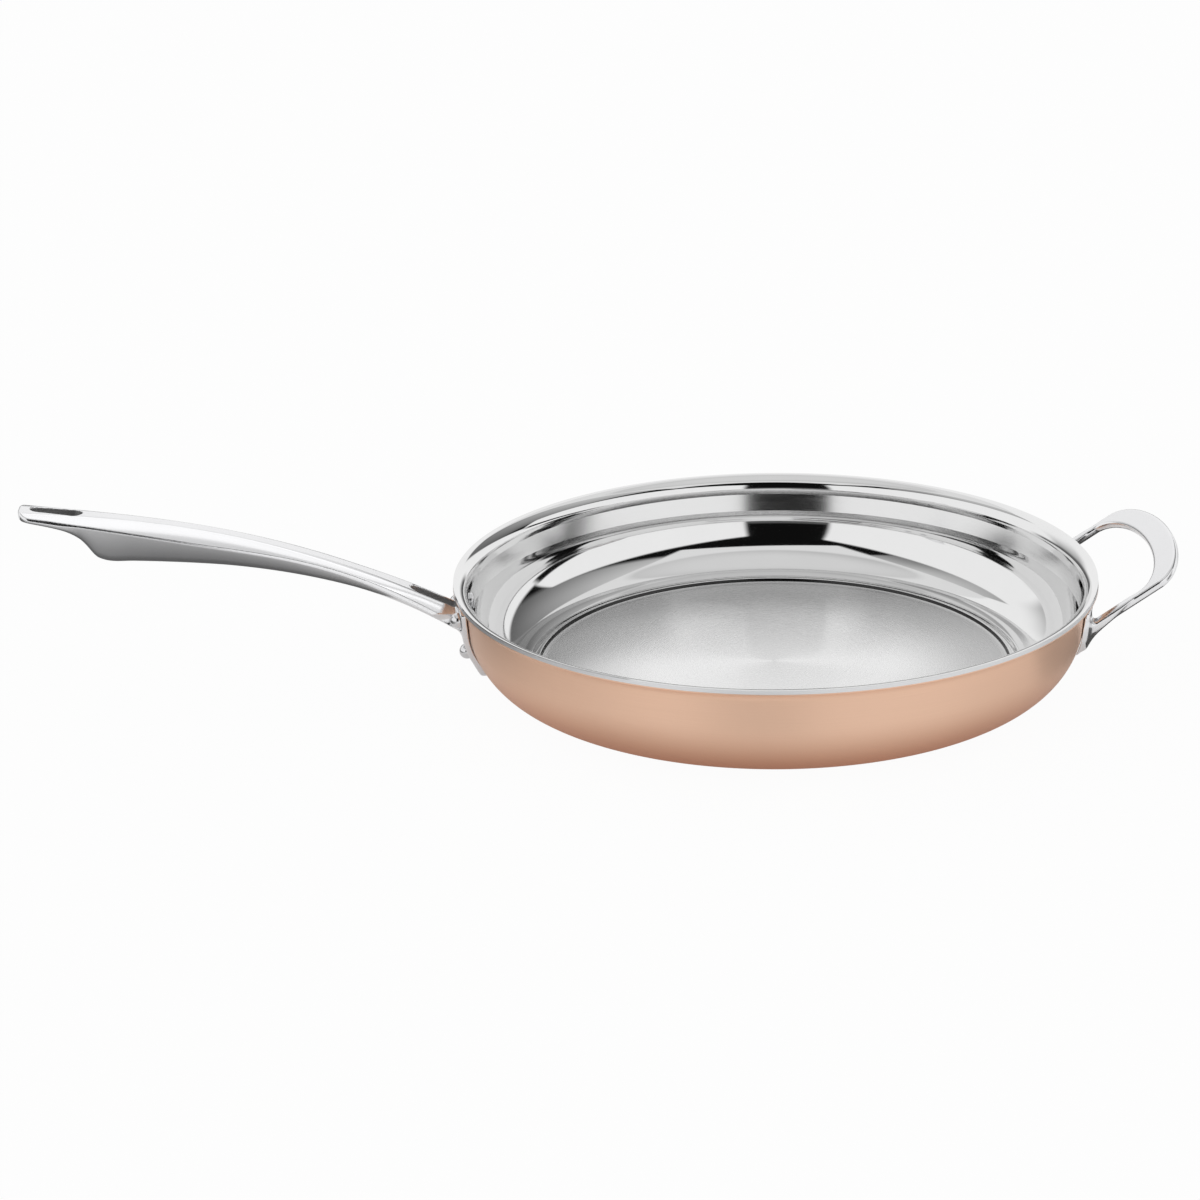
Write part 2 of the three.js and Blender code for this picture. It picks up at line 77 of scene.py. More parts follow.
THICKNESS = STEEL_PLY + CORE_PLY + COPPER_PLY + 2 * BOND_LINE
BEND_ANGLE = oval_angle(math.pi / 2 - WALL_LEAN)
WALL_FOOT = BEND_RISE * (1 - math.cos(BEND_ANGLE))
LIP_RISE = LIP_BEND * (math.sin(LIP_LEAN) - math.sin(WALL_LEAN)) + THICKNESS * math.sin(LIP_LEAN)
WALL_RISE = PAN_HEIGHT - WALL_FOOT - LIP_RISE
WALL_LENGTH = WALL_RISE / math.cos(WALL_LEAN)
WALL_TOP_RADIUS = RIM_RADIUS - LIP_BEND * (math.cos(WALL_LEAN) - math.cos(LIP_LEAN))
WALL_FOOT_RADIUS = WALL_TOP_RADIUS - WALL_RISE * math.tan(WALL_LEAN)
BASE_RADIUS = WALL_FOOT_RADIUS - BEND_RUN * math.sin(BEND_ANGLE)

# Rivets
SEAT_GAP = 0.3
UPPER_ROW = PAN_HEIGHT - 13.5
LOWER_ROW = UPPER_ROW - 19.5
UPPER_SPREAD = 25.0
INNER_HEAD_RADIUS = 4.0
INNER_HEAD_HEIGHT = 2.0
OUTER_HEAD_RADIUS = 3.8
OUTER_HEAD_HEIGHT = 4.6
HEAD_EDGE = 0.8
HEAD_CLEARANCE = 0.8

# Bracket plate of the long handle
PLATE_THICKNESS = 3.0
PLATE_TOP = UPPER_ROW + 5.0
PLATE_SHOULDER = UPPER_ROW - 8.0
PLATE_BOTTOM = LOWER_ROW - 12.5
PLATE_TOP_HALF = 18.0
PLATE_TAIL_HALF = 9.0
TAIL_START = LOWER_ROW - 0.5

# Long handle: distances run out from the bracket's face, heights up from the upper rivet row
HANDLE_REACH = 205.8
TOP_CURVE = ((0.0, 2.7), (80.8, 44.5), (130.8, 52.5), (HANDLE_REACH, 62.0))
TOP_SLANT = 0.93            # a height over the sloping top, times this, is a distance from it
KEEL_SLANT = 0.95           # and so is one under the keel
NECK = 50.8                 # where the grip is slimmest
PALM = 125.8                # and where it swells again
TIP_CORNER = 7.0
TIP_HALF = 10.0
TIP_LENGTH = 40.0           # the tip's outline cuts the grip over this length
TIP_CLEARANCE = 1.3         # and first stays this far off the crease,
TIP_CLOSING = 20.0          # then closes up to it over this run
TIP_CLOSED = 14.0           # and meets it at this distance from the end
TOE = HANDLE_REACH - 36.0
SWOOP = 16.0
UPPER_CROWN = 0.35          # both faces of each side swell by this much in the middle
LOWER_CROWN = 0.9
SLOT_LENGTH = 22.3
SLOT_HALF = 4.4
HOLE_FROM_TIP = 5.5
HOLE_LENGTH = 24.0
HOLE_INNER_RADIUS = 4.4
HOLE_TIP_RADIUS = 3.3
RAW_SHADED_MARGIN = 0.15           # faces within this distance of an opening's wall are left unpolished and painted darker as shade, past this distance from the bracket
RAW_SHADED_START = 1.0             # past this distance from the bracket

# Rounding of the handle's edges and corners: the width over which two faces run together
TOP_EDGE = 0.9
CREASE_EDGE = 1.0
KEEL_SHARE = 0.3            # of the keel's depth, held between the next two
KEEL_EDGE_LEAST = 1.5
KEEL_EDGE_MOST = 5.0
TIP_EDGE = 1.2
HOLE_EDGE = 0.9
SLOT_EDGE = 1.0
SHOULDER_ROUND = 6.0
PLATE_CORNER = 3.0
PLATE_EDGE = 0.8
ROOT_FILLET = 2.5
POCKET_EDGE = 0.6
SEAT_EDGE = 0.3

# Helper loop: its top face lies in a plane that rises from the wall
HELPER_LINE = PAN_HEIGHT - 13.3
HELPER_TILT = math.radians(33)
HELPER_REACH = 50.6
HELPER_HALF_SPAN = 50.6
HELPER_THICKNESS = 4.0
LEG_WIDTH = 4.2
BOW_WIDTH = 12.6
BOW_OUTER_RISE = 19.6
BOW_INNER_RISE = 17.0
FOOT_THICKNESS = 2.5
FOOT_WIDTH = 18.0
FOOT_OVERHANG = 2.2
FOOT_TOP = HELPER_LINE + 4.5
FOOT_BOTTOM = HELPER_LINE - 15.2
GUSSET_RUN = 16.0
WEB_INSET = 1.0             # the web starts this far under the top face
WEB_EDGE = 1.0
WEB_SIDE_EDGE = 1.2
WEB_FILLET = 2.0
BAND_EDGE = 1.6
FOOT_CORNER = 5.0
FOOT_EDGE = 1.0
FOOT_FILLET = 3.5

# Meshes: shares of a profile at which its stretches end, and how fine each piece is
DISC_END, BEAD_END, MARGIN_END, BEND_END, WALL_END = 0.06, 0.16, 0.22, 0.66, 0.78
PLY_STEPS, PLY_SIDES = 242, 288
HEAD_SEAT_END, HEAD_EDGE_END = 0.1, 0.2
HEAD_STEPS, HEAD_SIDES = 28, 48
SHARP_ANGLE = math.radians(40)
HANDLE_SPACE = (-363, -21, 2), (-136, 21, 101)      # corners of the grid that a casting is skinned on
LOOP_SPACE = (132, -56, 18), (197, 56, 68)
GRIP_STEP, LOOP_STEP = 0.5, 0.4
SETTLE_ROUNDS = 6           # times that a casting's points are drawn onto its surface
EVEN_ROUNDS = 3             # and the first of them that also even the points out


# Node trees

def socket_type(value):
    if value == "MATERIAL":
        return "NodeSocketMaterial"
    if value == "GEOMETRY":
        return "NodeSocketGeometry"
    if value == "COLOR":
        return "NodeSocketColor"
    if isinstance(value, int):
        return "NodeSocketInt"
    if isinstance(value, tuple):
        return "NodeSocketVector"
    return "NodeSocketFloat"


def new_tree(name, kind, inputs, outputs):
    """A node tree with named inputs and outputs, and its two end nodes."""
    tree = bpy.data.node_groups.new(name, kind)
    for label, value in inputs.items():
        socket = tree.interface.new_socket(label, in_out="INPUT", socket_type=socket_type(value))
        if not isinstance(value, str):
            socket.default_value = value
    for label, value in outputs.items():
        tree.interface.new_socket(label, in_out="OUTPUT", socket_type=socket_type(value))
    return tree, tree.nodes.new("NodeGroupInput"), tree.nodes.new("NodeGroupOutput")


def put(tree, socket, value):
    """Links an output to a socket, or sets the socket's own value."""
    if isinstance(value, bpy.types.NodeSocket):
        tree.links.new(value, socket)
    else:
        socket.default_value = value


def add(tree, kind, settings=None, **sockets):
    """A node with its settings, and its sockets filled by name."""
    node = tree.nodes.new(kind)
    for key, value in (settings or {}).items():
        setattr(node, key, value)
    for label, value in sockets.items():
        put(tree, node.inputs[label.replace("_", " ")], value)
    return node


def calc(tree, operation, *values):
    """One step of arithmetic on numbers or outputs."""
    node = tree.nodes.new("ShaderNodeMath")
    node.operation = operation
    for socket, value in zip(node.inputs, values):
        put(tree, socket, value)
    return node.outputs[0]


def part_of(tree, value, start, end, kind="LINEAR"):
    """How far a value has come from start to end, held between 0 and 1."""
    node = add(tree, "ShaderNodeMapRange", {"interpolation_type": kind})
    for label, given in (("Value", value), ("From Min", start), ("From Max", end)):
        put(tree, node.inputs[label], given)
    return node.outputs["Result"]


def span_of(tree, x, y):
    """How far a spot lies that is x across and y along."""
    return calc(tree, "SQRT", calc(tree, "ADD", calc(tree, "MULTIPLY", x, x), calc(tree, "MULTIPLY", y, y)))


def own_place(tree):
    """The object's own x, y and z at each spot."""
    place = add(tree, "ShaderNodeTexCoord").outputs["Object"]
    return add(tree, "ShaderNodeSeparateXYZ", Vector=place).outputs


def swept_grid(tree, steps, sides):
    """A unit grid, its position along the profile from 0 to 1 and its angle round the axis."""
    around = calc(tree, "ADD", sides, 1)
    grid = add(tree, "GeometryNodeMeshGrid", Vertices_X=steps, Vertices_Y=around, Size_X=1.0, Size_Y=1.0)
    place = add(tree, "ShaderNodeSeparateXYZ", Vector=add(tree, "GeometryNodeInputPosition").outputs[0])
    along = calc(tree, "ADD", place.outputs["X"], 0.5)
    angle = calc(tree, "MULTIPLY", place.outputs["Y"], -2 * math.pi)
    return grid.outputs["Mesh"], along, angle


def turned(tree, mesh, angle, radius, height):
    """Moves a grid onto a turned surface and closes its seam and poles."""
    x = calc(tree, "MULTIPLY", radius, calc(tree, "COSINE", angle))
    y = calc(tree, "MULTIPLY", radius, calc(tree, "SINE", angle))
    place = add(tree, "ShaderNodeCombineXYZ", X=x, Y=y, Z=height)
    moved = add(tree, "GeometryNodeSetPosition", Geometry=mesh, Position=place.outputs[0])
    closed = add(tree, "GeometryNodeMergeByDistance", Geometry=moved.outputs[0], Distance=1e-6)
    return closed.outputs[0]


def finish_tree(tree, start, end, mesh):
    real = add(tree, "GeometryNodeRealizeInstances", Geometry=mesh)
    dressed = add(tree, "GeometryNodeSetMaterial", Geometry=real.outputs[0], Material=start.outputs["Material"])
    tree.links.new(dressed.outputs[0], end.inputs[0])


def clad_ply_tree():
    """One ply of the pan: floor, bend, wall and lip, out along its outer face and back along its inner one."""
    sizes = {
        "Floor Disc": 0.0, "Base Radius": 0.0, "Bend Run": 0.0, "Bend Rise": 0.0, "Wall Lean": 0.0,
        "Wall Length": 0.0, "Lip Bend": 0.0, "Lip Lean": 0.0, "Depth": 0.0, "Thickness": 0.0,
        "Bead Run": 0.0, "Bead Rise": 0.0,
        "Steps": 8, "Sides": 8, "Material": "MATERIAL",
    }
    tree, start, end = new_tree("Clad ply", "GeometryNodeTree", sizes, {"Mesh": "GEOMETRY"})
    given = start.outputs
    mesh, along, angle = swept_grid(tree, given["Steps"], given["Sides"])
    fold = calc(tree, "SUBTRACT", calc(tree, "MULTIPLY", along, 2.0), 1.0)
    last = calc(tree, "SUBTRACT", given["Steps"], 1.0)
    spread = calc(tree, "DIVIDE", last, calc(tree, "SUBTRACT", last, 1.0))
    way = calc(tree, "MULTIPLY", calc(tree, "SUBTRACT", 1.0, calc(tree, "ABSOLUTE", fold)), spread)
    inner = calc(tree, "GREATER_THAN", fold, 0.0)
    depth = calc(tree, "MULTIPLY_ADD", inner, given["Thickness"], given["Depth"])

    disc = calc(tree, "MULTIPLY", part_of(tree, way, 0.0, DISC_END), given["Floor Disc"])
    disc = calc(tree, "MULTIPLY_ADD", part_of(tree, way, DISC_END, BEAD_END), given["Bead Run"], disc)
    margin = calc(tree, "SUBTRACT", given["Base Radius"], given["Floor Disc"])
    margin = calc(tree, "SUBTRACT", margin, given["Bead Run"])
    floor = calc(tree, "MULTIPLY_ADD", part_of(tree, way, BEAD_END, MARGIN_END), margin, disc)
    bead = part_of(tree, way, DISC_END, BEAD_END, "SMOOTHSTEP")
    bead = calc(tree, "SUBTRACT", bead, part_of(tree, way, BEAD_END, MARGIN_END, "SMOOTHSTEP"))
    bead = calc(tree, "MULTIPLY", calc(tree, "MULTIPLY", bead, inner), given["Bead Rise"])
    lean = given["Wall Lean"]
    upright = calc(tree, "SUBTRACT", math.pi / 2, lean)
    turn = calc(tree, "MULTIPLY", part_of(tree, way, MARGIN_END, BEND_END), upright)
    wall = calc(tree, "MULTIPLY", part_of(tree, way, BEND_END, WALL_END), given["Wall Length"])
    rolled = calc(tree, "SUBTRACT", given["Lip Lean"], lean)
    curl = calc(tree, "MULTIPLY", part_of(tree, way, WALL_END, 1.0), rolled)
    lip = calc(tree, "ADD", lean, curl)
    run = calc(tree, "MULTIPLY", given["Bend Run"], calc(tree, "SINE", turn))
    oval = calc(tree, "ARCTAN2", run, calc(tree, "MULTIPLY", given["Bend Rise"], calc(tree, "COSINE", turn)))
    roll = calc(tree, "ADD", given["Lip Bend"], depth)

    inset = calc(tree, "MULTIPLY", depth, calc(tree, "SINE", turn))
    radius = calc(tree, "MULTIPLY_ADD", given["Bend Run"], calc(tree, "SINE", oval), floor)
    radius = calc(tree, "SUBTRACT", radius, inset)
    radius = calc(tree, "MULTIPLY_ADD", wall, calc(tree, "SINE", lean), radius)
    reach = calc(tree, "SUBTRACT", calc(tree, "COSINE", lean), calc(tree, "COSINE", lip))
    radius = calc(tree, "MULTIPLY_ADD", roll, reach, radius)
    lift = calc(tree, "MULTIPLY_ADD", depth, calc(tree, "COSINE", turn), bead)
    climb = calc(tree, "SUBTRACT", 1.0, calc(tree, "COSINE", oval))
    height = calc(tree, "MULTIPLY_ADD", given["Bend Rise"], climb, lift)
    height = calc(tree, "MULTIPLY_ADD", wall, calc(tree, "COSINE", lean), height)
    rise = calc(tree, "SUBTRACT", calc(tree, "SINE", lip), calc(tree, "SINE", lean))
    height = calc(tree, "MULTIPLY_ADD", roll, rise, height)
    finish_tree(tree, start, end, turned(tree, mesh, angle, radius, height))
    return tree


def rivet_tree():
    """A set rivet's two heads on their axis, placed where the rivet crosses the pan's outer face."""
    sizes = {
        "Place": (0.0, 0.0, 0.0), "Axis": (0.0, 0.0, 1.0), "Inner Radius": 0.0, "Inner Height": 0.0,
        "Inner Seat": 0.0, "Outer Radius": 0.0, "Outer Height": 0.0, "Outer Seat": 0.0, "Edge": 0.0,
        "Steps": 8, "Sides": 8, "Material": "MATERIAL",
    }
    tree, start, end = new_tree("Set rivet", "GeometryNodeTree", sizes, {"Mesh": "GEOMETRY"})
    given = start.outputs
    heads = add(tree, "GeometryNodeJoinGeometry")
    for side, way in (("Inner", -1.0), ("Outer", 1.0)):
        mesh, along, angle = swept_grid(tree, given["Steps"], given["Sides"])
        seat = part_of(tree, along, 0.0, HEAD_SEAT_END)
        edge = calc(tree, "MULTIPLY", part_of(tree, along, HEAD_SEAT_END, HEAD_EDGE_END), given["Edge"])
        swell = calc(tree, "MULTIPLY", part_of(tree, along, HEAD_EDGE_END, 1.0), math.pi / 2)
        dome = calc(tree, "SUBTRACT", given[side + " Height"], given["Edge"])
        span = calc(tree, "MULTIPLY", seat, calc(tree, "COSINE", swell))
        radius = calc(tree, "MULTIPLY", span, given[side + " Radius"])
        height = calc(tree, "MULTIPLY_ADD", dome, calc(tree, "SINE", swell), edge)
        height = calc(tree, "MULTIPLY_ADD", height, way, given[side + " Seat"])
        turn = calc(tree, "MULTIPLY", angle, way)
        tree.links.new(turned(tree, mesh, turn, radius, height), heads.inputs[0])
    point = add(tree, "GeometryNodePoints", Count=1, Position=given["Place"])
    aim = add(tree, "FunctionNodeAlignRotationToVector", {"axis": "Z"}, Vector=given["Axis"])
    placed = add(tree, "GeometryNodeInstanceOnPoints", Points=point.outputs[0], Instance=heads.outputs[0])
    put(tree, placed.inputs["Rotation"], aim.outputs[0])
    finish_tree(tree, start, end, placed.outputs[0])
    return tree


def grown(name, tree, values):
    """Runs a tree with its inputs and keeps the result as a plain mesh object."""
    obj = bpy.data.objects.new(name, bpy.data.meshes.new(name))
    bpy.context.scene.collection.objects.link(obj)
    modifier = obj.modifiers.new("Made", "NODES")
    modifier.node_group = tree
    for item in tree.interface.items_tree:
        if item.in_out == "INPUT":
            modifier[item.identifier] = values[item.name]
    held = obj.evaluated_get(bpy.context.evaluated_depsgraph_get())
    mesh = bpy.data.meshes.new_from_object(held)
    obj.modifiers.remove(modifier)
    obj.data = mesh
    mesh.name = name
    mesh.materials.clear()
    mesh.materials.append(values["Material"])
    mesh.polygons.foreach_set("material_index", [0] * len(mesh.polygons))
    mesh.polygons.foreach_set("use_smooth", [True] * len(mesh.polygons))
    mesh.set_sharp_from_angle(angle=SHARP_ANGLE)
    return obj


# Cast pieces: a smooth distance field in millimetres, skinned on a grid and drawn onto its surface

def soft_max(a, b, width):
    share = np.clip(0.5 + 0.5 * (a - b) / width, 0, 1)
    return b + (a - b) * share + width * share * (1 - share)


def soft_min(a, b, width):
    return -soft_max(-a, -b, width)


def smooth_line(pairs):
    """A smooth value along a distance, through (distance, value) pairs."""
    xs, ys = (np.array(column, float) for column in zip(*pairs))
    slopes = np.empty_like(ys)
    slopes[1:-1] = (ys[2:] - ys[:-2]) / (xs[2:] - xs[:-2])
    slopes[0] = (ys[1] - ys[0]) / (xs[1] - xs[0])
    slopes[-1] = (ys[-1] - ys[-2]) / (xs[-1] - xs[-2])

    def value(at):
        at = np.clip(at, xs[0], xs[-1])
        i = np.clip(np.searchsorted(xs, at) - 1, 0, len(xs) - 2)
        span = xs[i + 1] - xs[i]
        t = (at - xs[i]) / span
        ease = t * t * (3 - 2 * t)
        lift = t * (1 - t) ** 2 * span * slopes[i] + t * t * (t - 1) * span * slopes[i + 1]
        return ys[i] + (ys[i + 1] - ys[i]) * ease + lift
    return value


def oval_distance(across, along, half, rise):
    """Distance to an oval about the origin, true near its line."""
    reach = np.hypot(across / half, along / rise)
    steep = np.hypot(across / half ** 2, along / rise ** 2) / np.maximum(reach, 1e-6)
    return (reach - 1) / np.maximum(steep, 1e-6)


def wall_distance(x, y, z):
    """Distance out from the pan's outer face, which runs on straight below the bracket's rivet."""
    out = np.hypot(x, y)

    def straight(radius, height, turn):
        away, up = out - radius, z - height
        return away * math.sin(turn) - up * math.cos(turn), away * math.cos(turn) + up * math.sin(turn)
    wall, past_foot = straight(WALL_FOOT_RADIUS, WALL_FOOT, math.pi / 2 - WALL_LEAN)
    tail, past_tail = straight(wall_radius(TAIL_START), TAIL_START, turn_at(TAIL_START))
    bend = oval_distance(out - BASE_RADIUS, z - BEND_RISE, BEND_RUN, BEND_RISE)
    return np.where(past_foot > 0, wall, np.where(past_tail < 0, tail, bend))


def slab(wall, thickness):
    """Distance to a plate that follows the wall, a seat's gap away from it."""
    return np.abs(wall - SEAT_GAP - thickness / 2) - thickness / 2


def wall_radius(height):
    if height < WALL_FOOT:
        return BASE_RADIUS + BEND_RUN * math.sin(math.acos(1 - height / BEND_RISE))
    return WALL_FOOT_RADIUS + (height - WALL_FOOT) * math.tan(WALL_LEAN)


def rivet_axis(across, height):
    """Where a rivet crosses the pan's outer face, and its direction out."""
    radius = wall_radius(height)
    around = math.asin(across / radius)
    lean = math.pi / 2 - turn_at(height) if height < WALL_FOOT else WALL_LEAN
    place = np.array((-radius * math.cos(around), across, height))
    out = np.array((-math.cos(lean) * math.cos(around), math.cos(lean) * math.sin(around), -math.sin(lean)))
    return place, out


RIVETS = {
    "upper_rivet_front": rivet_axis(-UPPER_SPREAD / 2, UPPER_ROW),
    "upper_rivet_back": rivet_axis(UPPER_SPREAD / 2, UPPER_ROW),
    "lower_rivet": rivet_axis(0.0, LOWER_ROW),
}
PLATE_FACE = SEAT_GAP + PLATE_THICKNESS
ROOT_RADIUS = wall_radius(UPPER_ROW) + PLATE_FACE / math.cos(WALL_LEAN)

# The handle's section along its length: half widths of top face, crease and keel, and drops below the top
face_half = smooth_line([(0, 5.3), (SLOT_LENGTH, 5.3), (NECK, 4.0), (HANDLE_REACH, 4.0)])
crease_half = smooth_line([(0, 11.3), (NECK, 8.6), (PALM, 11.0), (HANDLE_REACH, TIP_HALF)])
crease_drop = smooth_line([(0, 7.0), (NECK, 3.2), (PALM, 5.8), (HANDLE_REACH, 2.3)])
keel_drop = smooth_line([
    (0, 10.5), (SLOT_LENGTH, 8.8), (NECK, 9.8), (TOE - SWOOP, 22.0), (TOE, 22.0),
    (TOE + SWOOP / 2, 12.3), (TOE + SWOOP, 7.6), (HANDLE_REACH, 4.4),
])
keel_half = smooth_line([
    (0, 9.6), (NECK, 6.0), (PALM, 4.2), (TOE, 4.2), (TOE + SWOOP, 8.6), (HANDLE_REACH, 8.6),
])


def top_line():
    """Heights of the handle's top face along its length, from its four control points."""
    t = np.linspace(0, 1, 2001)[:, None]
    a, b, c, d = (np.array(p) for p in TOP_CURVE)
    curve = a * (1 - t) ** 3 + 3 * b * t * (1 - t) ** 2 + 3 * c * t * t * (1 - t) + d * t ** 3
    slope = TOP_CURVE[1][1] / TOP_CURVE[1][0]
    before = np.array([(-40.0, TOP_CURVE[0][1] - 40.0 * slope)])
    return np.vstack([before, curve])


TOP_LINE = top_line()


def tapered_slot(along, across, length, start_radius, end_radius):
    """Distance to a slot with two round ends of unlike radius and straight sides."""
    lean = (start_radius - end_radius) / length
    side = math.sqrt(1 - lean * lean)
    turn = along * side - across * lean
    start = np.hypot(along, across) - start_radius
    end = np.hypot(along - length, across) - end_radius
    flank = across * side + along * lean - start_radius
    return np.where(turn < 0, start, np.where(turn > side * length, end, flank))


def crown(share, rise):
    """How far a face swells at a share of the way across it."""
    share = np.clip(share, 0, 1)
    return 4 * rise * share * (1 - share)


def openings(out, half):
    """Distances to the hang hole and to the slot of the fork."""
    length = HOLE_LENGTH - HOLE_INNER_RADIUS - HOLE_TIP_RADIUS
    start = HANDLE_REACH - HOLE_FROM_TIP - HOLE_TIP_RADIUS - length
    hole = tapered_slot(out - start, half, length, HOLE_INNER_RADIUS, HOLE_TIP_RADIUS)
    slot = np.hypot(np.maximum(out - (SLOT_LENGTH - SLOT_HALF), 0), half) - SLOT_HALF
    return hole, slot


def handle_field(x, y, z):
    """The long handle: a creased grip with its openings, run into the bracket plate."""
    out = -x - ROOT_RADIUS
    at = np.maximum(out, 0)
    half = np.abs(y)
    drop = z - UPPER_ROW - np.interp(out, TOP_LINE[:, 0], TOP_LINE[:, 1])
    face, crease, sag = face_half(at), crease_half(at), crease_drop(at)
    keel, deep = keel_half(at), keel_drop(at)

    shoulder = np.hypot(sag, crease - face)
    upper = (sag * (half - face) + (crease - face) * drop) / shoulder
    share = ((half - face) * (crease - face) - drop * sag) / shoulder ** 2
    upper = upper - crown(share, UPPER_CROWN)
    flank = np.hypot(deep - sag, crease - keel)
    lower = ((deep - sag) * (half - crease) - (crease - keel) * (drop + sag)) / flank
    share = ((crease - half) * (crease - keel) - (drop + sag) * (deep - sag)) / flank ** 2
    lower = lower - crown(share, LOWER_CROWN)
    body = soft_max(drop * TOP_SLANT, upper, TOP_EDGE)
    body = soft_max(body, lower, CREASE_EDGE)
    keel_edge = np.clip(KEEL_SHARE * deep, KEEL_EDGE_LEAST, KEEL_EDGE_MOST)
    body = soft_max(body, -(drop + deep) * KEEL_SLANT, keel_edge)
    before_tip = np.clip((HANDLE_REACH - TIP_CLOSED - out) / TIP_CLOSING, 0, 1)
    run = out - (HANDLE_REACH - TIP_CORNER)
    side = half - (crease + TIP_CLEARANCE * before_tip - TIP_CORNER)
    corner = np.hypot(np.maximum(run, 0), np.maximum(side, 0)) - TIP_CORNER
    tip = corner + np.minimum(np.maximum(run, side), 0)
    tip = np.where(out > HANDLE_REACH - TIP_LENGTH, tip, -TIP_LENGTH)
    body = soft_max(body, tip, TIP_EDGE)

    hole, slot = openings(out, half)
    body = soft_max(body, -hole, HOLE_EDGE)
    body = soft_max(body, -slot, SLOT_EDGE)

    wall = wall_distance(x, y, z)
    fall = np.hypot(PLATE_TOP_HALF - PLATE_TAIL_HALF, PLATE_SHOULDER - PLATE_BOTTOM)
    taper = (PLATE_SHOULDER - PLATE_BOTTOM) * (half - PLATE_TOP_HALF)
    taper = (taper - (PLATE_TOP_HALF - PLATE_TAIL_HALF) * (z - PLATE_SHOULDER)) / fall
    shield = soft_max(half - PLATE_TOP_HALF, taper, SHOULDER_ROUND)
    shield = soft_max(shield, np.maximum(z - PLATE_TOP, PLATE_BOTTOM - z), PLATE_CORNER)
    plate = soft_max(slab(wall, PLATE_THICKNESS), shield, PLATE_EDGE)
    cast = soft_min(body, plate, ROOT_FILLET)
    for place, axis in RIVETS.values():
        rel = (x - place[0], y - place[1], z - place[2])
        high = sum(r * a for r, a in zip(rel, axis))
        off = np.sqrt(np.maximum(sum(r * r for r in rel) - high * high, 0))
        room = np.maximum(off - OUTER_HEAD_RADIUS - HEAD_CLEARANCE, PLATE_FACE - high)
        cast = soft_max(cast, -room, POCKET_EDGE)
    return soft_max(cast, SEAT_GAP - wall, SEAT_EDGE)


def bow_outline(across, along, half, rise):
    """Distance to straight legs that end in half an oval."""
    return oval_distance(across, np.maximum(along, 0), half, rise)


def helper_field(x, y, z):
    """The helper loop: a flat bow, with two feet on the wall and a web under each leg."""
    half = np.abs(y)
    out, up = x - wall_radius(HELPER_LINE), z - HELPER_LINE
    along = out * math.cos(HELPER_TILT) + up * math.sin(HELPER_TILT)
    depth = out * math.sin(HELPER_TILT) - up * math.cos(HELPER_TILT)
    leg_inner = HELPER_HALF_SPAN - LEG_WIDTH
    outer = bow_outline(half, along - (HELPER_REACH - BOW_OUTER_RISE), HELPER_HALF_SPAN, BOW_OUTER_RISE)
    inner = bow_outline(half, along - (HELPER_REACH - BOW_WIDTH - BOW_INNER_RISE), leg_inner, BOW_INNER_RISE)
    ring = np.maximum(outer, -inner)
    band = soft_max(ring, np.abs(depth - HELPER_THICKNESS / 2) - HELPER_THICKNESS / 2, BAND_EDGE)

    wall = wall_distance(x, y, z)
    foot_middle = HELPER_HALF_SPAN + FOOT_OVERHANG - FOOT_WIDTH / 2
    middle = (FOOT_TOP + FOOT_BOTTOM) / 2
    pad = np.abs(half - foot_middle) - FOOT_WIDTH / 2
    pad = soft_max(pad, np.abs(z - middle) - (FOOT_TOP - middle), FOOT_CORNER)
    foot = soft_max(slab(wall, FOOT_THICKNESS), pad, FOOT_EDGE)

    foot_x = math.sqrt((wall_radius(FOOT_BOTTOM) + SEAT_GAP + FOOT_THICKNESS) ** 2 - HELPER_HALF_SPAN ** 2)
    end_x = foot_x + GUSSET_RUN
    end_z = HELPER_LINE + (end_x - wall_radius(HELPER_LINE)) * math.tan(HELPER_TILT) - HELPER_THICKNESS / 2
    run, climb = end_x - foot_x, end_z - FOOT_BOTTOM
    under = (climb * (x - foot_x) - run * (z - FOOT_BOTTOM)) / math.hypot(run, climb)
    leg = np.abs(half - (HELPER_HALF_SPAN - LEG_WIDTH / 2)) - LEG_WIDTH / 2
    web = soft_max(soft_max(under, WEB_INSET - depth, WEB_EDGE), leg, WEB_SIDE_EDGE)
    cast = soft_min(soft_min(band, web, WEB_FILLET), foot, FOOT_FILLET)
    return soft_max(cast, SEAT_GAP - wall, SEAT_EDGE)


def gradient(field, points, step=0.03):
    slopes = []
    for axis in range(3):
        shift = np.zeros(3)
        shift[axis] = step
        slopes.append((field(*(points + shift).T) - field(*(points - shift).T)) / (2 * step))
    return np.stack(slopes, 1)


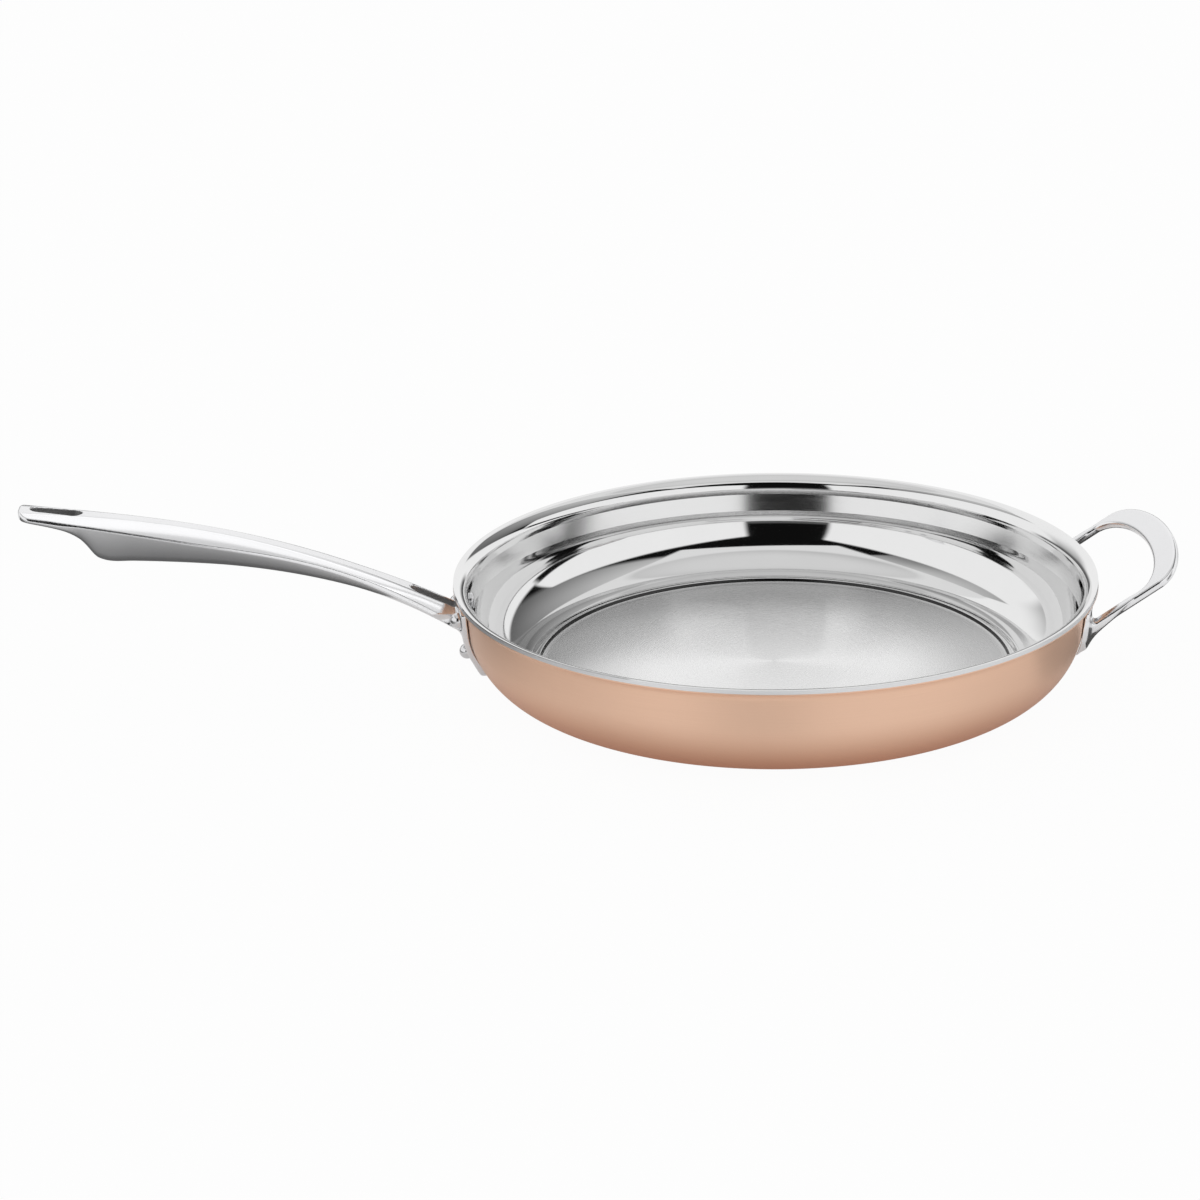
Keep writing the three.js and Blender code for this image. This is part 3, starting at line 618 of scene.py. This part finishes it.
def skinned(name, field, low, high, step, material):
    """The surface of a field as a mesh of quads that lie on it, with the field's own normals."""
    axes = [np.arange(a, b + step, step) for a, b in zip(low, high)]
    values = field(*np.meshgrid(*axes, indexing="ij"))
    inside = values < 0
    cells = tuple(n - 1 for n in values.shape)
    corners = [(i, j, k) for i in (0, 1) for j in (0, 1) for k in (0, 1)]

    def corner_of(grid, corner):
        return grid[tuple(slice(c, c + n) for c, n in zip(corner, cells))]
    count = sum(corner_of(inside, c).astype(np.int8) for c in corners)
    crossed = np.argwhere((count > 0) & (count < 8))
    total = np.zeros((len(crossed), 3))
    hits = np.zeros(len(crossed))
    for a in corners:
        for b in corners:
            if sum(b) - sum(a) == 1 and all(q >= p for p, q in zip(a, b)):
                va = values[tuple((crossed + a).T)]
                vb = values[tuple((crossed + b).T)]
                hit = (va < 0) != (vb < 0)
                share = np.where(hit, va / np.where(hit, va - vb, 1), 0)[:, None]
                total += hit[:, None] * (crossed + a + share * (np.array(b) - a))
                hits += hit
    points = np.array(low) + step * total / hits[:, None]
    number = np.full(cells, -1)
    number[tuple(crossed.T)] = np.arange(len(crossed))
    quads = []
    for axis in range(3):
        first = np.moveaxis(inside, axis, 0)
        ids = np.moveaxis(number, axis, 0)
        change = first[1:, 1:-1, 1:-1].astype(int) - first[:-1, 1:-1, 1:-1]
        for sign in (-1, 1):
            i, j, k = np.nonzero(change == sign)
            ring = [ids[i, j, k], ids[i, j + 1, k], ids[i, j + 1, k + 1], ids[i, j, k + 1]]
            if (sign == 1) != (axis == 1):
                ring = ring[::-1]
            quads.append(np.stack(ring, 1))
    quads = np.vstack(quads)
    for turn in range(SETTLE_ROUNDS):
        slope = gradient(field, points)
        size = np.maximum((slope ** 2).sum(1), 1e-6)
        move = -(field(*points.T) / size)[:, None] * slope
        points = points + np.clip(move, -step, step)
        if turn < EVEN_ROUNDS:
            middle = np.zeros_like(points)
            shares = np.zeros(len(points))
            for a, b in ((0, 1), (1, 2), (2, 3), (3, 0)):
                for p, q in ((quads[:, a], quads[:, b]), (quads[:, b], quads[:, a])):
                    for c in range(3):
                        middle[:, c] += np.bincount(p, points[q, c], len(points))
                    shares += np.bincount(p, minlength=len(points))
            points = points + 0.5 * (middle / shares[:, None] - points)
    normals = gradient(field, points)
    normals /= np.linalg.norm(normals, axis=1)[:, None]
    mesh = bpy.data.meshes.new(name)
    mesh.from_pydata((points * MM).tolist(), [], quads.tolist())
    mesh.polygons.foreach_set("use_smooth", [True] * len(mesh.polygons))
    mesh.normals_split_custom_set_from_vertices(normals.tolist())
    mesh.materials.append(material)
    obj = bpy.data.objects.new(name, mesh)
    bpy.context.scene.collection.objects.link(obj)
    return obj


# Finishes

LINE_SHARE = 0.75           # how much of a brushed metal's colour follows its lines, the rest its clouds
LINE_DEPTH = 0.00002        # metres
SCRATCH_DEPTH = 0.00001


def grey(shade):
    return (shade, shade, shade, 1)


def turned_lines_group():
    """Fine lines that run round the pan's axis, as a turning brush leaves them."""
    inputs = {"Place": (0.0, 0.0, 0.0), "Fineness": 1000.0, "Streak": 4.0}
    tree, start, end = new_tree("Turned lines", "ShaderNodeTree", inputs, {"Lines": 0.0})
    place = add(tree, "ShaderNodeSeparateXYZ", Vector=start.outputs["Place"])
    x, y, z = place.outputs
    radius = span_of(tree, x, y)
    round_to = calc(tree, "DIVIDE", start.outputs["Streak"], calc(tree, "MAXIMUM", radius, 0.001))
    line = calc(tree, "MULTIPLY", calc(tree, "ADD", radius, z), start.outputs["Fineness"])
    spot = add(tree, "ShaderNodeCombineXYZ", X=calc(tree, "MULTIPLY", x, round_to),
               Y=calc(tree, "MULTIPLY", y, round_to), Z=line)
    noise = add(tree, "ShaderNodeTexNoise", Vector=spot.outputs[0], Scale=1.0, Detail=4.0, Roughness=0.6)
    tree.links.new(noise.outputs[0], end.inputs["Lines"])
    return tree


def handling_group():
    """Soft cloudy marks and fine hair scratches that use and wiping leave on metal."""
    inputs = {"Place": (0.0, 0.0, 0.0), "Cloud Size": 30.0, "Scratch Size": 400.0}
    tree, start, end = new_tree("Handling marks", "ShaderNodeTree", inputs, {"Clouds": 0.0, "Scratches": 0.0})
    cloud = add(tree, "ShaderNodeTexNoise", Vector=start.outputs["Place"], Scale=start.outputs["Cloud Size"],
                Detail=3.0, Roughness=0.5)
    tree.links.new(cloud.outputs[0], end.inputs["Clouds"])
    turn = add(tree, "ShaderNodeMapping", Vector=start.outputs["Place"],
               Rotation=(0.3, 0.5, 0.2), Scale=(1.0, 0.06, 0.4))
    hair = add(tree, "ShaderNodeTexNoise", Vector=turn.outputs[0], Scale=start.outputs["Scratch Size"],
               Detail=2.0, Roughness=0.7)
    tree.links.new(part_of(tree, hair.outputs[0], 0.55, 0.75), end.inputs["Scratches"])
    return tree


def grouped(tree, group, **values):
    node = tree.nodes.new("ShaderNodeGroup")
    node.node_tree = group
    for label, value in values.items():
        put(tree, node.inputs[label.replace("_", " ")], value)
    return node.outputs


def new_metal(name):
    """A bare metal with its Principled shader and the piece's own coordinates."""
    material = bpy.data.materials.new(name)
    material.use_nodes = True
    tree = material.node_tree
    shader = tree.nodes["Principled BSDF"]
    shader.inputs["Metallic"].default_value = 1.0
    place = add(tree, "ShaderNodeTexCoord").outputs["Object"]
    return material, tree, shader, place


def blended(tree, share, low, high):
    mix = add(tree, "ShaderNodeMix", {"data_type": "RGBA"})
    put(tree, mix.inputs[0], share)
    put(tree, mix.inputs[6], low)
    put(tree, mix.inputs[7], high)
    return mix.outputs[2]


def ranged(tree, share, low, high):
    node = add(tree, "ShaderNodeMapRange")
    for label, given in (("Value", share), ("To Min", low), ("To Max", high)):
        put(tree, node.inputs[label], given)
    return node.outputs["Result"]


def bumped(tree, shader, height, strength, distance, lean=0.0):
    """Roughens the surface, and leans it upward by a share of its own normal."""
    bump = add(tree, "ShaderNodeBump", Height=height, Strength=strength, Distance=distance)
    if lean:
        normal = add(tree, "ShaderNodeNewGeometry").outputs["Normal"]
        raised = add(tree, "ShaderNodeVectorMath", {"operation": "ADD"})
        put(tree, raised.inputs[0], normal)
        put(tree, raised.inputs[1], (0.0, 0.0, lean))
        unit = add(tree, "ShaderNodeVectorMath", {"operation": "NORMALIZE"})
        put(tree, unit.inputs[0], raised.outputs[0])
        put(tree, bump.inputs["Normal"], unit.outputs[0])
    tree.links.new(bump.outputs[0], shader.inputs["Normal"])


def brushed(name, colours, roughness, fineness, grain, draw, lines, marks, painted_shade=None, lean=0.0):
    """Metal with turned brush lines, which draw its highlights out across them.

    A painted shade is a darker second colour that sets in between two radii, or between two heights, standing
    in for shade.
    """
    material, tree, shader, place = new_metal(name)
    line = grouped(tree, lines, Place=place, Fineness=fineness, Streak=5.0)["Lines"]
    cloud = grouped(tree, marks, Place=place, Cloud_Size=18.0, Scratch_Size=500.0)["Clouds"]
    clouds = calc(tree, "MULTIPLY", cloud, 1 - LINE_SHARE)
    mixed = calc(tree, "ADD", calc(tree, "MULTIPLY", line, LINE_SHARE), clouds)
    share = part_of(tree, mixed, 0.3, 0.7)
    colour = blended(tree, share, *colours)
    # painted shade: blends in the darker second colour between two radii or two heights
    if painted_shade:
        measure, start, end, shade_colour = painted_shade
        x, y, z = add(tree, "ShaderNodeSeparateXYZ", Vector=place).outputs
        level = {"radius": span_of(tree, x, y), "height": z}[measure]
        colour = blended(tree, part_of(tree, level, start, end, "SMOOTHSTEP"), colour, shade_colour)
    put(tree, shader.inputs["Base Color"], colour)
    put(tree, shader.inputs["Roughness"], ranged(tree, share, *roughness))
    shader.inputs["Anisotropic"].default_value = draw
    shader.inputs["Anisotropic Rotation"].default_value = 0.25
    tangent = add(tree, "ShaderNodeTangent", {"direction_type": "RADIAL", "axis": "Z"})
    tree.links.new(tangent.outputs[0], shader.inputs["Tangent"])
    bumped(tree, shader, line, grain, LINE_DEPTH, lean)
    return material


def polished(name, colours, roughness, marks):
    """Buffed metal with faint clouds and hair scratches."""
    material, tree, shader, place = new_metal(name)
    mark = grouped(tree, marks, Place=place, Cloud_Size=40.0, Scratch_Size=700.0)
    put(tree, shader.inputs["Base Color"], blended(tree, mark["Clouds"], *colours))
    scuffed = calc(tree, "ADD", calc(tree, "MULTIPLY", mark["Scratches"], 0.5), mark["Clouds"])
    put(tree, shader.inputs["Roughness"], ranged(tree, scuffed, *roughness))
    bumped(tree, shader, mark["Scratches"], 0.03, SCRATCH_DEPTH)
    return material


lines = turned_lines_group()
marks = handling_group()
# painted shade: the copper darkens and warms toward its foot, where the shadowed floor would be reflected
copper = brushed("Brushed copper", ((0.9, 0.6, 0.435, 1), (0.95, 0.65, 0.485, 1)), (0.4, 0.46),
                 fineness=6000.0, grain=0.05, draw=0.8, lines=lines, marks=marks,
                 painted_shade=("height", 0.03, -0.003, (0.58, 0.27, 0.16, 1)))
core_metal = brushed("Rolled aluminium", ((0.74, 0.75, 0.76, 1), (0.8, 0.8, 0.81, 1)), (0.3, 0.4),
                     fineness=2500.0, grain=0.1, draw=0.5, lines=lines, marks=marks)
# painted shade: the floor steel greys toward its edge, standing in for the darker reflections seen there
floor_steel = brushed("Brushed floor steel", (grey(0.84), grey(0.9)), (0.22, 0.3),
                      fineness=1800.0, grain=0.15, draw=0.8, lines=lines, marks=marks,
                      painted_shade=("radius", 0.055, 0.105, grey(0.6)))
wall_steel = brushed("Satin wall steel", (grey(0.77), grey(0.8)), (0.14, 0.2),
                     fineness=2500.0, grain=0.05, draw=0.2, lines=lines, marks=marks, lean=SATIN_LEAN)
# painted shade: near-black steel for the bead's inner side, standing in for shade in the step round the floor
bead_shade_steel = polished("Bead painted shade steel", (grey(0.03), grey(0.06)), (0.2, 0.3), marks)
mirror_steel = polished("Mirror steel", (grey(0.78), grey(0.82)), (0.03, 0.07), marks)
cast_steel = polished("Polished casting", ((0.8, 0.8, 0.81, 1), (0.86, 0.86, 0.87, 1)), (0.12, 0.2), marks)
# unpolished and painted shade: the rougher finish is the casting's own, the dark colour is painted shade inside
# the openings
raw_shaded_steel = polished("Unpolished casting with painted shade", (grey(0.3), grey(0.36)), (0.4, 0.5), marks)
rivet_steel = polished("Rivet steel", ((0.72, 0.72, 0.73, 1), (0.78, 0.78, 0.79, 1)), (0.12, 0.2), marks)


# Pieces

def keep(obj, node):
    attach(obj, "root")
    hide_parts(node)


ply_tree = clad_ply_tree()


def clad_ply(name, depth, thickness, material, bead=0.0):
    return grown(name, ply_tree, {
        "Floor Disc": FLOOR_DISC * MM, "Base Radius": BASE_RADIUS * MM, "Bend Run": BEND_RUN * MM,
        "Bend Rise": BEND_RISE * MM, "Wall Lean": WALL_LEAN, "Wall Length": WALL_LENGTH * MM,
        "Lip Bend": LIP_BEND * MM, "Lip Lean": LIP_LEAN, "Depth": depth * MM, "Thickness": thickness * MM,
        "Bead Run": BEAD_RUN * MM, "Bead Rise": bead * MM,
        "Steps": PLY_STEPS, "Sides": PLY_SIDES, "Material": material,
    })


jacket = clad_ply("copper_body", 0.0, COPPER_PLY, copper)
core = clad_ply("core_sheet", COPPER_PLY + BOND_LINE, CORE_PLY, core_metal)
liner = clad_ply("steel_lining", COPPER_PLY + CORE_PLY + 2 * BOND_LINE, STEEL_PLY, mirror_steel, BEAD_RISE)
for extra in (floor_steel, wall_steel, bead_shade_steel):
    liner.data.materials.append(extra)
for face in liner.data.polygons:
    radius = math.hypot(face.center.x, face.center.y)
    if radius < FLOOR_DISC * MM:
        face.material_index = 1
    elif SATIN_FOOT * MM < face.center.z < SATIN_TOP * MM:
        face.material_index = 2
    # painted shade: the bead's inner side takes the near-black steel
    elif radius < (FLOOR_DISC + PAINTED_SHADE_SHARE * BEAD_RUN) * MM:
        face.material_index = 3
keep(jacket, "copper_jacket")
keep(core, "aluminium_core")
keep(liner, "steel_liner")

rivets = rivet_tree()
for name, (place, axis) in RIVETS.items():
    keep(grown(name + "_set", rivets, {
        "Place": tuple(place * MM), "Axis": tuple(axis),
        "Inner Radius": INNER_HEAD_RADIUS * MM, "Inner Height": INNER_HEAD_HEIGHT * MM,
        "Inner Seat": -THICKNESS * MM,
        "Outer Radius": OUTER_HEAD_RADIUS * MM, "Outer Height": OUTER_HEAD_HEIGHT * MM,
        "Outer Seat": PLATE_FACE * MM, "Edge": HEAD_EDGE * MM,
        "Steps": HEAD_STEPS, "Sides": HEAD_SIDES, "Material": rivet_steel,
    }), name)

handle = skinned("cast_handle", handle_field, *HANDLE_SPACE, GRIP_STEP, cast_steel)
handle.data.materials.append(raw_shaded_steel)
# the openings' walls take the rougher steel with painted shade
for face in handle.data.polygons:
    out, across = -face.center.x / MM - ROOT_RADIUS, abs(face.center.y) / MM
    if out > RAW_SHADED_START and min(openings(out, across)) < RAW_SHADED_MARGIN:
        face.material_index = 1
keep(handle, "long_handle")
loop = skinned("cast_helper", helper_field, *LOOP_SPACE, LOOP_STEP, cast_steel)
keep(loop, "helper_handle")


# Studio

PANEL_BLUR = 1.5            # soft edge of a wall panel, in degrees to either side
WALL_PANELS = (             # middle, half width, top and droop, in degrees
    (-87.0, 58.0, 46.5, 11.0), (54.5, 50.5, 39.0, 8.0), (-172.0, 30.0, 48.0, 4.0), (150.0, 50.0, 22.0, 7.0),
)
CARD_HEIGHT = 0.001
FLOOR_HALF = 6.0
FLOOR_SEEN = 0.96           # share of plain white that the camera sees on the floor
SHADE_MIDDLE, SHADE_STRETCH = -0.02, 2.2    # the floor's painted glow to reflections is weaker in an oval under the pan, where its real shadow shows
SHADE_START, SHADE_END = 0.12, 0.2
SHADE_GLOW, OPEN_GLOW = 0.32, 0.76
BACK_START, BACK_END, BACK_SHARE = 0.15, 0.3, 0.45      # and is dimmed behind it, as painted shade

PHOTO_WIDTH = 1200          # pixels
FOCAL_LENGTH = 2835.3       # pixels
SENSOR_WIDTH = 36.0
CAMERA_PLACE = (-0.1587, -1.2925, 0.514)
CAMERA_TURN, CAMERA_DIP, CAMERA_ROLL = -3.268, 20.166, -1.45    # degrees


def studio_floor():
    """White to the camera; to reflections a painted glow of light, brightest in front of the pan. It keeps the
    pan's shadow.
    """
    mesh = bpy.data.meshes.new("studio_floor")
    corners = [(x * FLOOR_HALF, y * FLOOR_HALF, 0) for x, y in ((-1, -1), (1, -1), (1, 1), (-1, 1))]
    mesh.from_pydata(corners, [], [(0, 1, 2, 3)])
    material = bpy.data.materials.new("Studio floor")
    material.use_nodes = True
    tree = material.node_tree
    tree.nodes.remove(tree.nodes["Principled BSDF"])
    paint = add(tree, "ShaderNodeBsdfDiffuse", Color=(0.85, 0.85, 0.85, 1))
    glow = add(tree, "ShaderNodeEmission", Color=(1, 1, 1, 1), Strength=1.0)
    path = add(tree, "ShaderNodeLightPath")
    mirrored = calc(tree, "MAXIMUM", path.outputs["Is Glossy Ray"], path.outputs["Is Transmission Ray"])
    seen = calc(tree, "MULTIPLY", path.outputs["Is Camera Ray"], FLOOR_SEEN)
    x, y, _ = own_place(tree)
    # painted light and shade: the glow that reflections see is weaker under the pan and dimmed behind it
    along = calc(tree, "DIVIDE", calc(tree, "SUBTRACT", x, SHADE_MIDDLE), SHADE_STRETCH)
    away = part_of(tree, span_of(tree, along, y), SHADE_START, SHADE_END, "SMOOTHSTEP")
    behind = ranged(tree, part_of(tree, y, BACK_START, BACK_END, "SMOOTHSTEP"), 1.0, BACK_SHARE)
    open_floor = calc(tree, "MULTIPLY", ranged(tree, away, SHADE_GLOW, OPEN_GLOW), behind)
    share = calc(tree, "MAXIMUM", seen, calc(tree, "MULTIPLY", mirrored, open_floor))
    mix = add(tree, "ShaderNodeMixShader", Fac=share)
    tree.links.new(paint.outputs[0], mix.inputs[1])
    tree.links.new(glow.outputs[0], mix.inputs[2])
    tree.links.new(mix.outputs[0], tree.nodes["Material Output"].inputs["Surface"])
    mesh.materials.append(material)
    obj = bpy.data.objects.new("studio_floor", mesh)
    bpy.context.scene.collection.objects.link(obj)


def softbox(name, piece, place, aim, size, light):
    """A soft box that lights one piece only."""
    lamp = bpy.data.lights.new(name, "AREA")
    lamp.shape = "RECTANGLE"
    lamp.size, lamp.size_y = size
    lamp.energy = light * math.pi * lamp.size * lamp.size_y
    box = bpy.data.objects.new(name, lamp)
    box.location = place
    box.rotation_euler = (Vector(aim) - Vector(place)).to_track_quat("-Z", "Y").to_euler()
    box.visible_camera = False
    bpy.context.scene.collection.objects.link(box)
    lit = bpy.data.collections.new(name + " lights")
    lit.objects.link(piece)
    box.light_linking.receiver_collection = lit


def reflected_shade_card(name, outline, shades):
    """A dark card on the floor that only reflections show, darker toward its back: painted shade for the handle
    and pan to reflect.
    """
    mesh = bpy.data.meshes.new(name)
    mesh.from_pydata([(x, y, CARD_HEIGHT) for x, y in outline], [], [tuple(range(len(outline)))])
    material = bpy.data.materials.new(name)
    material.use_nodes = True
    tree = material.node_tree
    shader = tree.nodes["Principled BSDF"]
    shader.inputs["Roughness"].default_value = 0.9
    depth = own_place(tree)["Y"]
    near, far = (grey(shade) for shade in shades)
    share = part_of(tree, depth, -0.15, 0.03, "SMOOTHSTEP")
    put(tree, shader.inputs["Base Color"], blended(tree, share, near, far))
    mesh.materials.append(material)
    card = bpy.data.objects.new(name, mesh)
    card.visible_camera = card.visible_diffuse = card.visible_shadow = False
    bpy.context.scene.collection.objects.link(card)


def studio_world():
    """A white tent round the pan: wall panels, a roof and an opening where the camera stands.

    It is white to the camera itself. Directions are a side angle, from the front and growing to the right,
    and a rise above the floor, in degrees. The roof lies in a plane, where across and depth are read per
    unit of height.
    """
    world = bpy.data.worlds.new("Studio")
    bpy.context.scene.world = world
    world.use_nodes = True
    tree = world.node_tree
    way = add(tree, "ShaderNodeSeparateXYZ", Vector=add(tree, "ShaderNodeTexCoord").outputs["Generated"])
    x, y, z = way.outputs
    side = calc(tree, "DEGREES", calc(tree, "ARCTAN2", x, calc(tree, "MULTIPLY", y, -1.0)))
    rise = calc(tree, "DEGREES", calc(tree, "ARCSINE", z))

    def fade(value, start, end):
        return part_of(tree, value, start, end, "SMOOTHSTEP")

    def less(mask):
        return calc(tree, "SUBTRACT", 1.0, mask)

    def both(first, second):
        return calc(tree, "MULTIPLY", first, second)

    def either(*masks):
        held = masks[0]
        for mask in masks[1:]:
            held = calc(tree, "MAXIMUM", held, mask)
        return held

    def panel(middle, half, top, droop):
        """A white wall panel whose top edge droops to both ends."""
        off = calc(tree, "WRAP", calc(tree, "SUBTRACT", side, middle), 180.0, -180.0)
        share = calc(tree, "DIVIDE", off, half)
        edge = calc(tree, "MULTIPLY_ADD", calc(tree, "MULTIPLY", share, share), -droop, top)
        within = less(fade(calc(tree, "ABSOLUTE", off), half - PANEL_BLUR, half + PANEL_BLUR))
        over = calc(tree, "SUBTRACT", rise, edge)
        return both(within, less(fade(over, -PANEL_BLUR, PANEL_BLUR)))
    walls = either(*(panel(*sizes) for sizes in WALL_PANELS))

    # A dark slit that climbs across the right panel, a dim stretch behind and a dim horizon
    line = calc(tree, "MULTIPLY_ADD", calc(tree, "SUBTRACT", side, 66.0), 0.32, 3.0)
    off_line = calc(tree, "ABSOLUTE", calc(tree, "SUBTRACT", rise, line))
    slit = both(less(fade(off_line, 2.2, 3.8)), both(fade(side, 57.0, 66.0), less(fade(side, 100.0, 106.0))))
    walls = both(walls, less(slit))
    behind = both(fade(side, -172.0, -158.0), less(fade(side, -142.0, -132.0)))
    walls = both(walls, less(calc(tree, "MULTIPLY", both(behind, less(fade(rise, 5.0, 33.0))), 0.6)))
    rear = either(less(fade(side, -130.0, -118.0)), fade(side, 150.0, 158.0))
    horizon = both(rear, less(fade(rise, 4.0, 12.0)))
    walls = both(walls, less(calc(tree, "MULTIPLY", horizon, 0.9)))

    # The roof, its two lit ends, and its low parts in front and behind, which are brightest
    height = calc(tree, "MAXIMUM", z, 0.01)
    across, depth = calc(tree, "DIVIDE", x, height), calc(tree, "DIVIDE", y, height)
    roof = both(fade(depth, -0.83, -0.78), less(fade(calc(tree, "ABSOLUTE", across), 0.6, 0.66)))
    left_end = fade(calc(tree, "MULTIPLY_ADD", rise, 0.8, calc(tree, "MULTIPLY", side, -1.0)), 101.0, 107.0)
    right_end = fade(calc(tree, "MULTIPLY_ADD", rise, 2.2, side), 155.0, 175.0)
    low_start = ranged(tree, fade(side, -60.0, 60.0), 35.0, 15.0)
    low_start = calc(tree, "SUBTRACT", low_start, ranged(tree, fade(side, -135.0, -80.0), 38.0, 0.0))
    glow = ranged(tree, fade(rise, low_start, 77.0), 0.12, 0.76)
    strip = both(roof, calc(tree, "MULTIPLY", less(fade(rise, 58.0, 70.0)), 0.85))
    room = either(both(either(roof, left_end, right_end), glow), strip)

    # What shows between the panels is nearly black, and a little lighter near the floor
    gap = ranged(tree, fade(rise, 7.0, 9.5), 0.1, 0.005)
    room_light = tree.nodes["Background"]
    room_light.inputs["Color"].default_value = (1.0, 1.0, 1.0, 1)
    tree.links.new(either(walls, room, gap), room_light.inputs["Strength"])
    white = add(tree, "ShaderNodeBackground", Color=(1, 1, 1, 1), Strength=1.0)
    mix = add(tree, "ShaderNodeMixShader", Fac=add(tree, "ShaderNodeLightPath").outputs["Is Camera Ray"])
    tree.links.new(room_light.outputs[0], mix.inputs[1])
    tree.links.new(white.outputs[0], mix.inputs[2])
    tree.links.new(mix.outputs[0], tree.nodes["World Output"].inputs["Surface"])


def photo_camera():
    """The camera that took the view, found by fitting the rim, the silhouette and both handles."""
    turn, dip, roll = (math.radians(angle) for angle in (CAMERA_TURN, CAMERA_DIP, CAMERA_ROLL))
    ahead = Vector((-math.sin(turn) * math.cos(dip), math.cos(turn) * math.cos(dip), -math.sin(dip)))
    right = Vector((math.cos(turn), math.sin(turn), 0))
    up = right.cross(ahead)
    right, up = math.cos(roll) * right + math.sin(roll) * up, math.cos(roll) * up - math.sin(roll) * right
    camera = bpy.data.cameras.new("Camera")
    camera.sensor_width = SENSOR_WIDTH
    camera.lens = FOCAL_LENGTH * SENSOR_WIDTH / PHOTO_WIDTH
    camera.clip_start, camera.clip_end = 0.05, 50.0
    obj = bpy.data.objects.new("Camera", camera)
    basis = Matrix((right, up, -ahead)).transposed()
    obj.matrix_world = Matrix.Translation(CAMERA_PLACE) @ basis.to_4x4()
    bpy.context.scene.collection.objects.link(obj)
    bpy.context.scene.camera = obj


studio_floor()
softbox("Top softbox", handle, place=(0.0, 0.19, 0.75), aim=(0.0, 0.19, 0.0), size=(1.1, 0.62), light=0.42)
softbox("Side softbox", handle, place=(0.41, -0.43, 0.77), aim=(-0.165, -0.01, 0.06), size=(0.36, 0.36),
        light=0.8)
# painted shade: dark cards under the handle and beside the helper loop darken what their faces reflect
reflected_shade_card("left_card", shades=(0.72, 0.17),
          outline=[(-0.7, -0.3), (-0.26, -0.3), (-0.205, -0.14), (-0.205, 0.15), (-0.7, 0.15)])
reflected_shade_card("right_card", shades=(0.15, 0.1),
          outline=[(0.165, -0.085), (0.225, -0.085), (0.225, 0.1), (0.165, 0.1)])
studio_world()
photo_camera()
bpy.context.scene.view_settings.view_transform = "Standard"
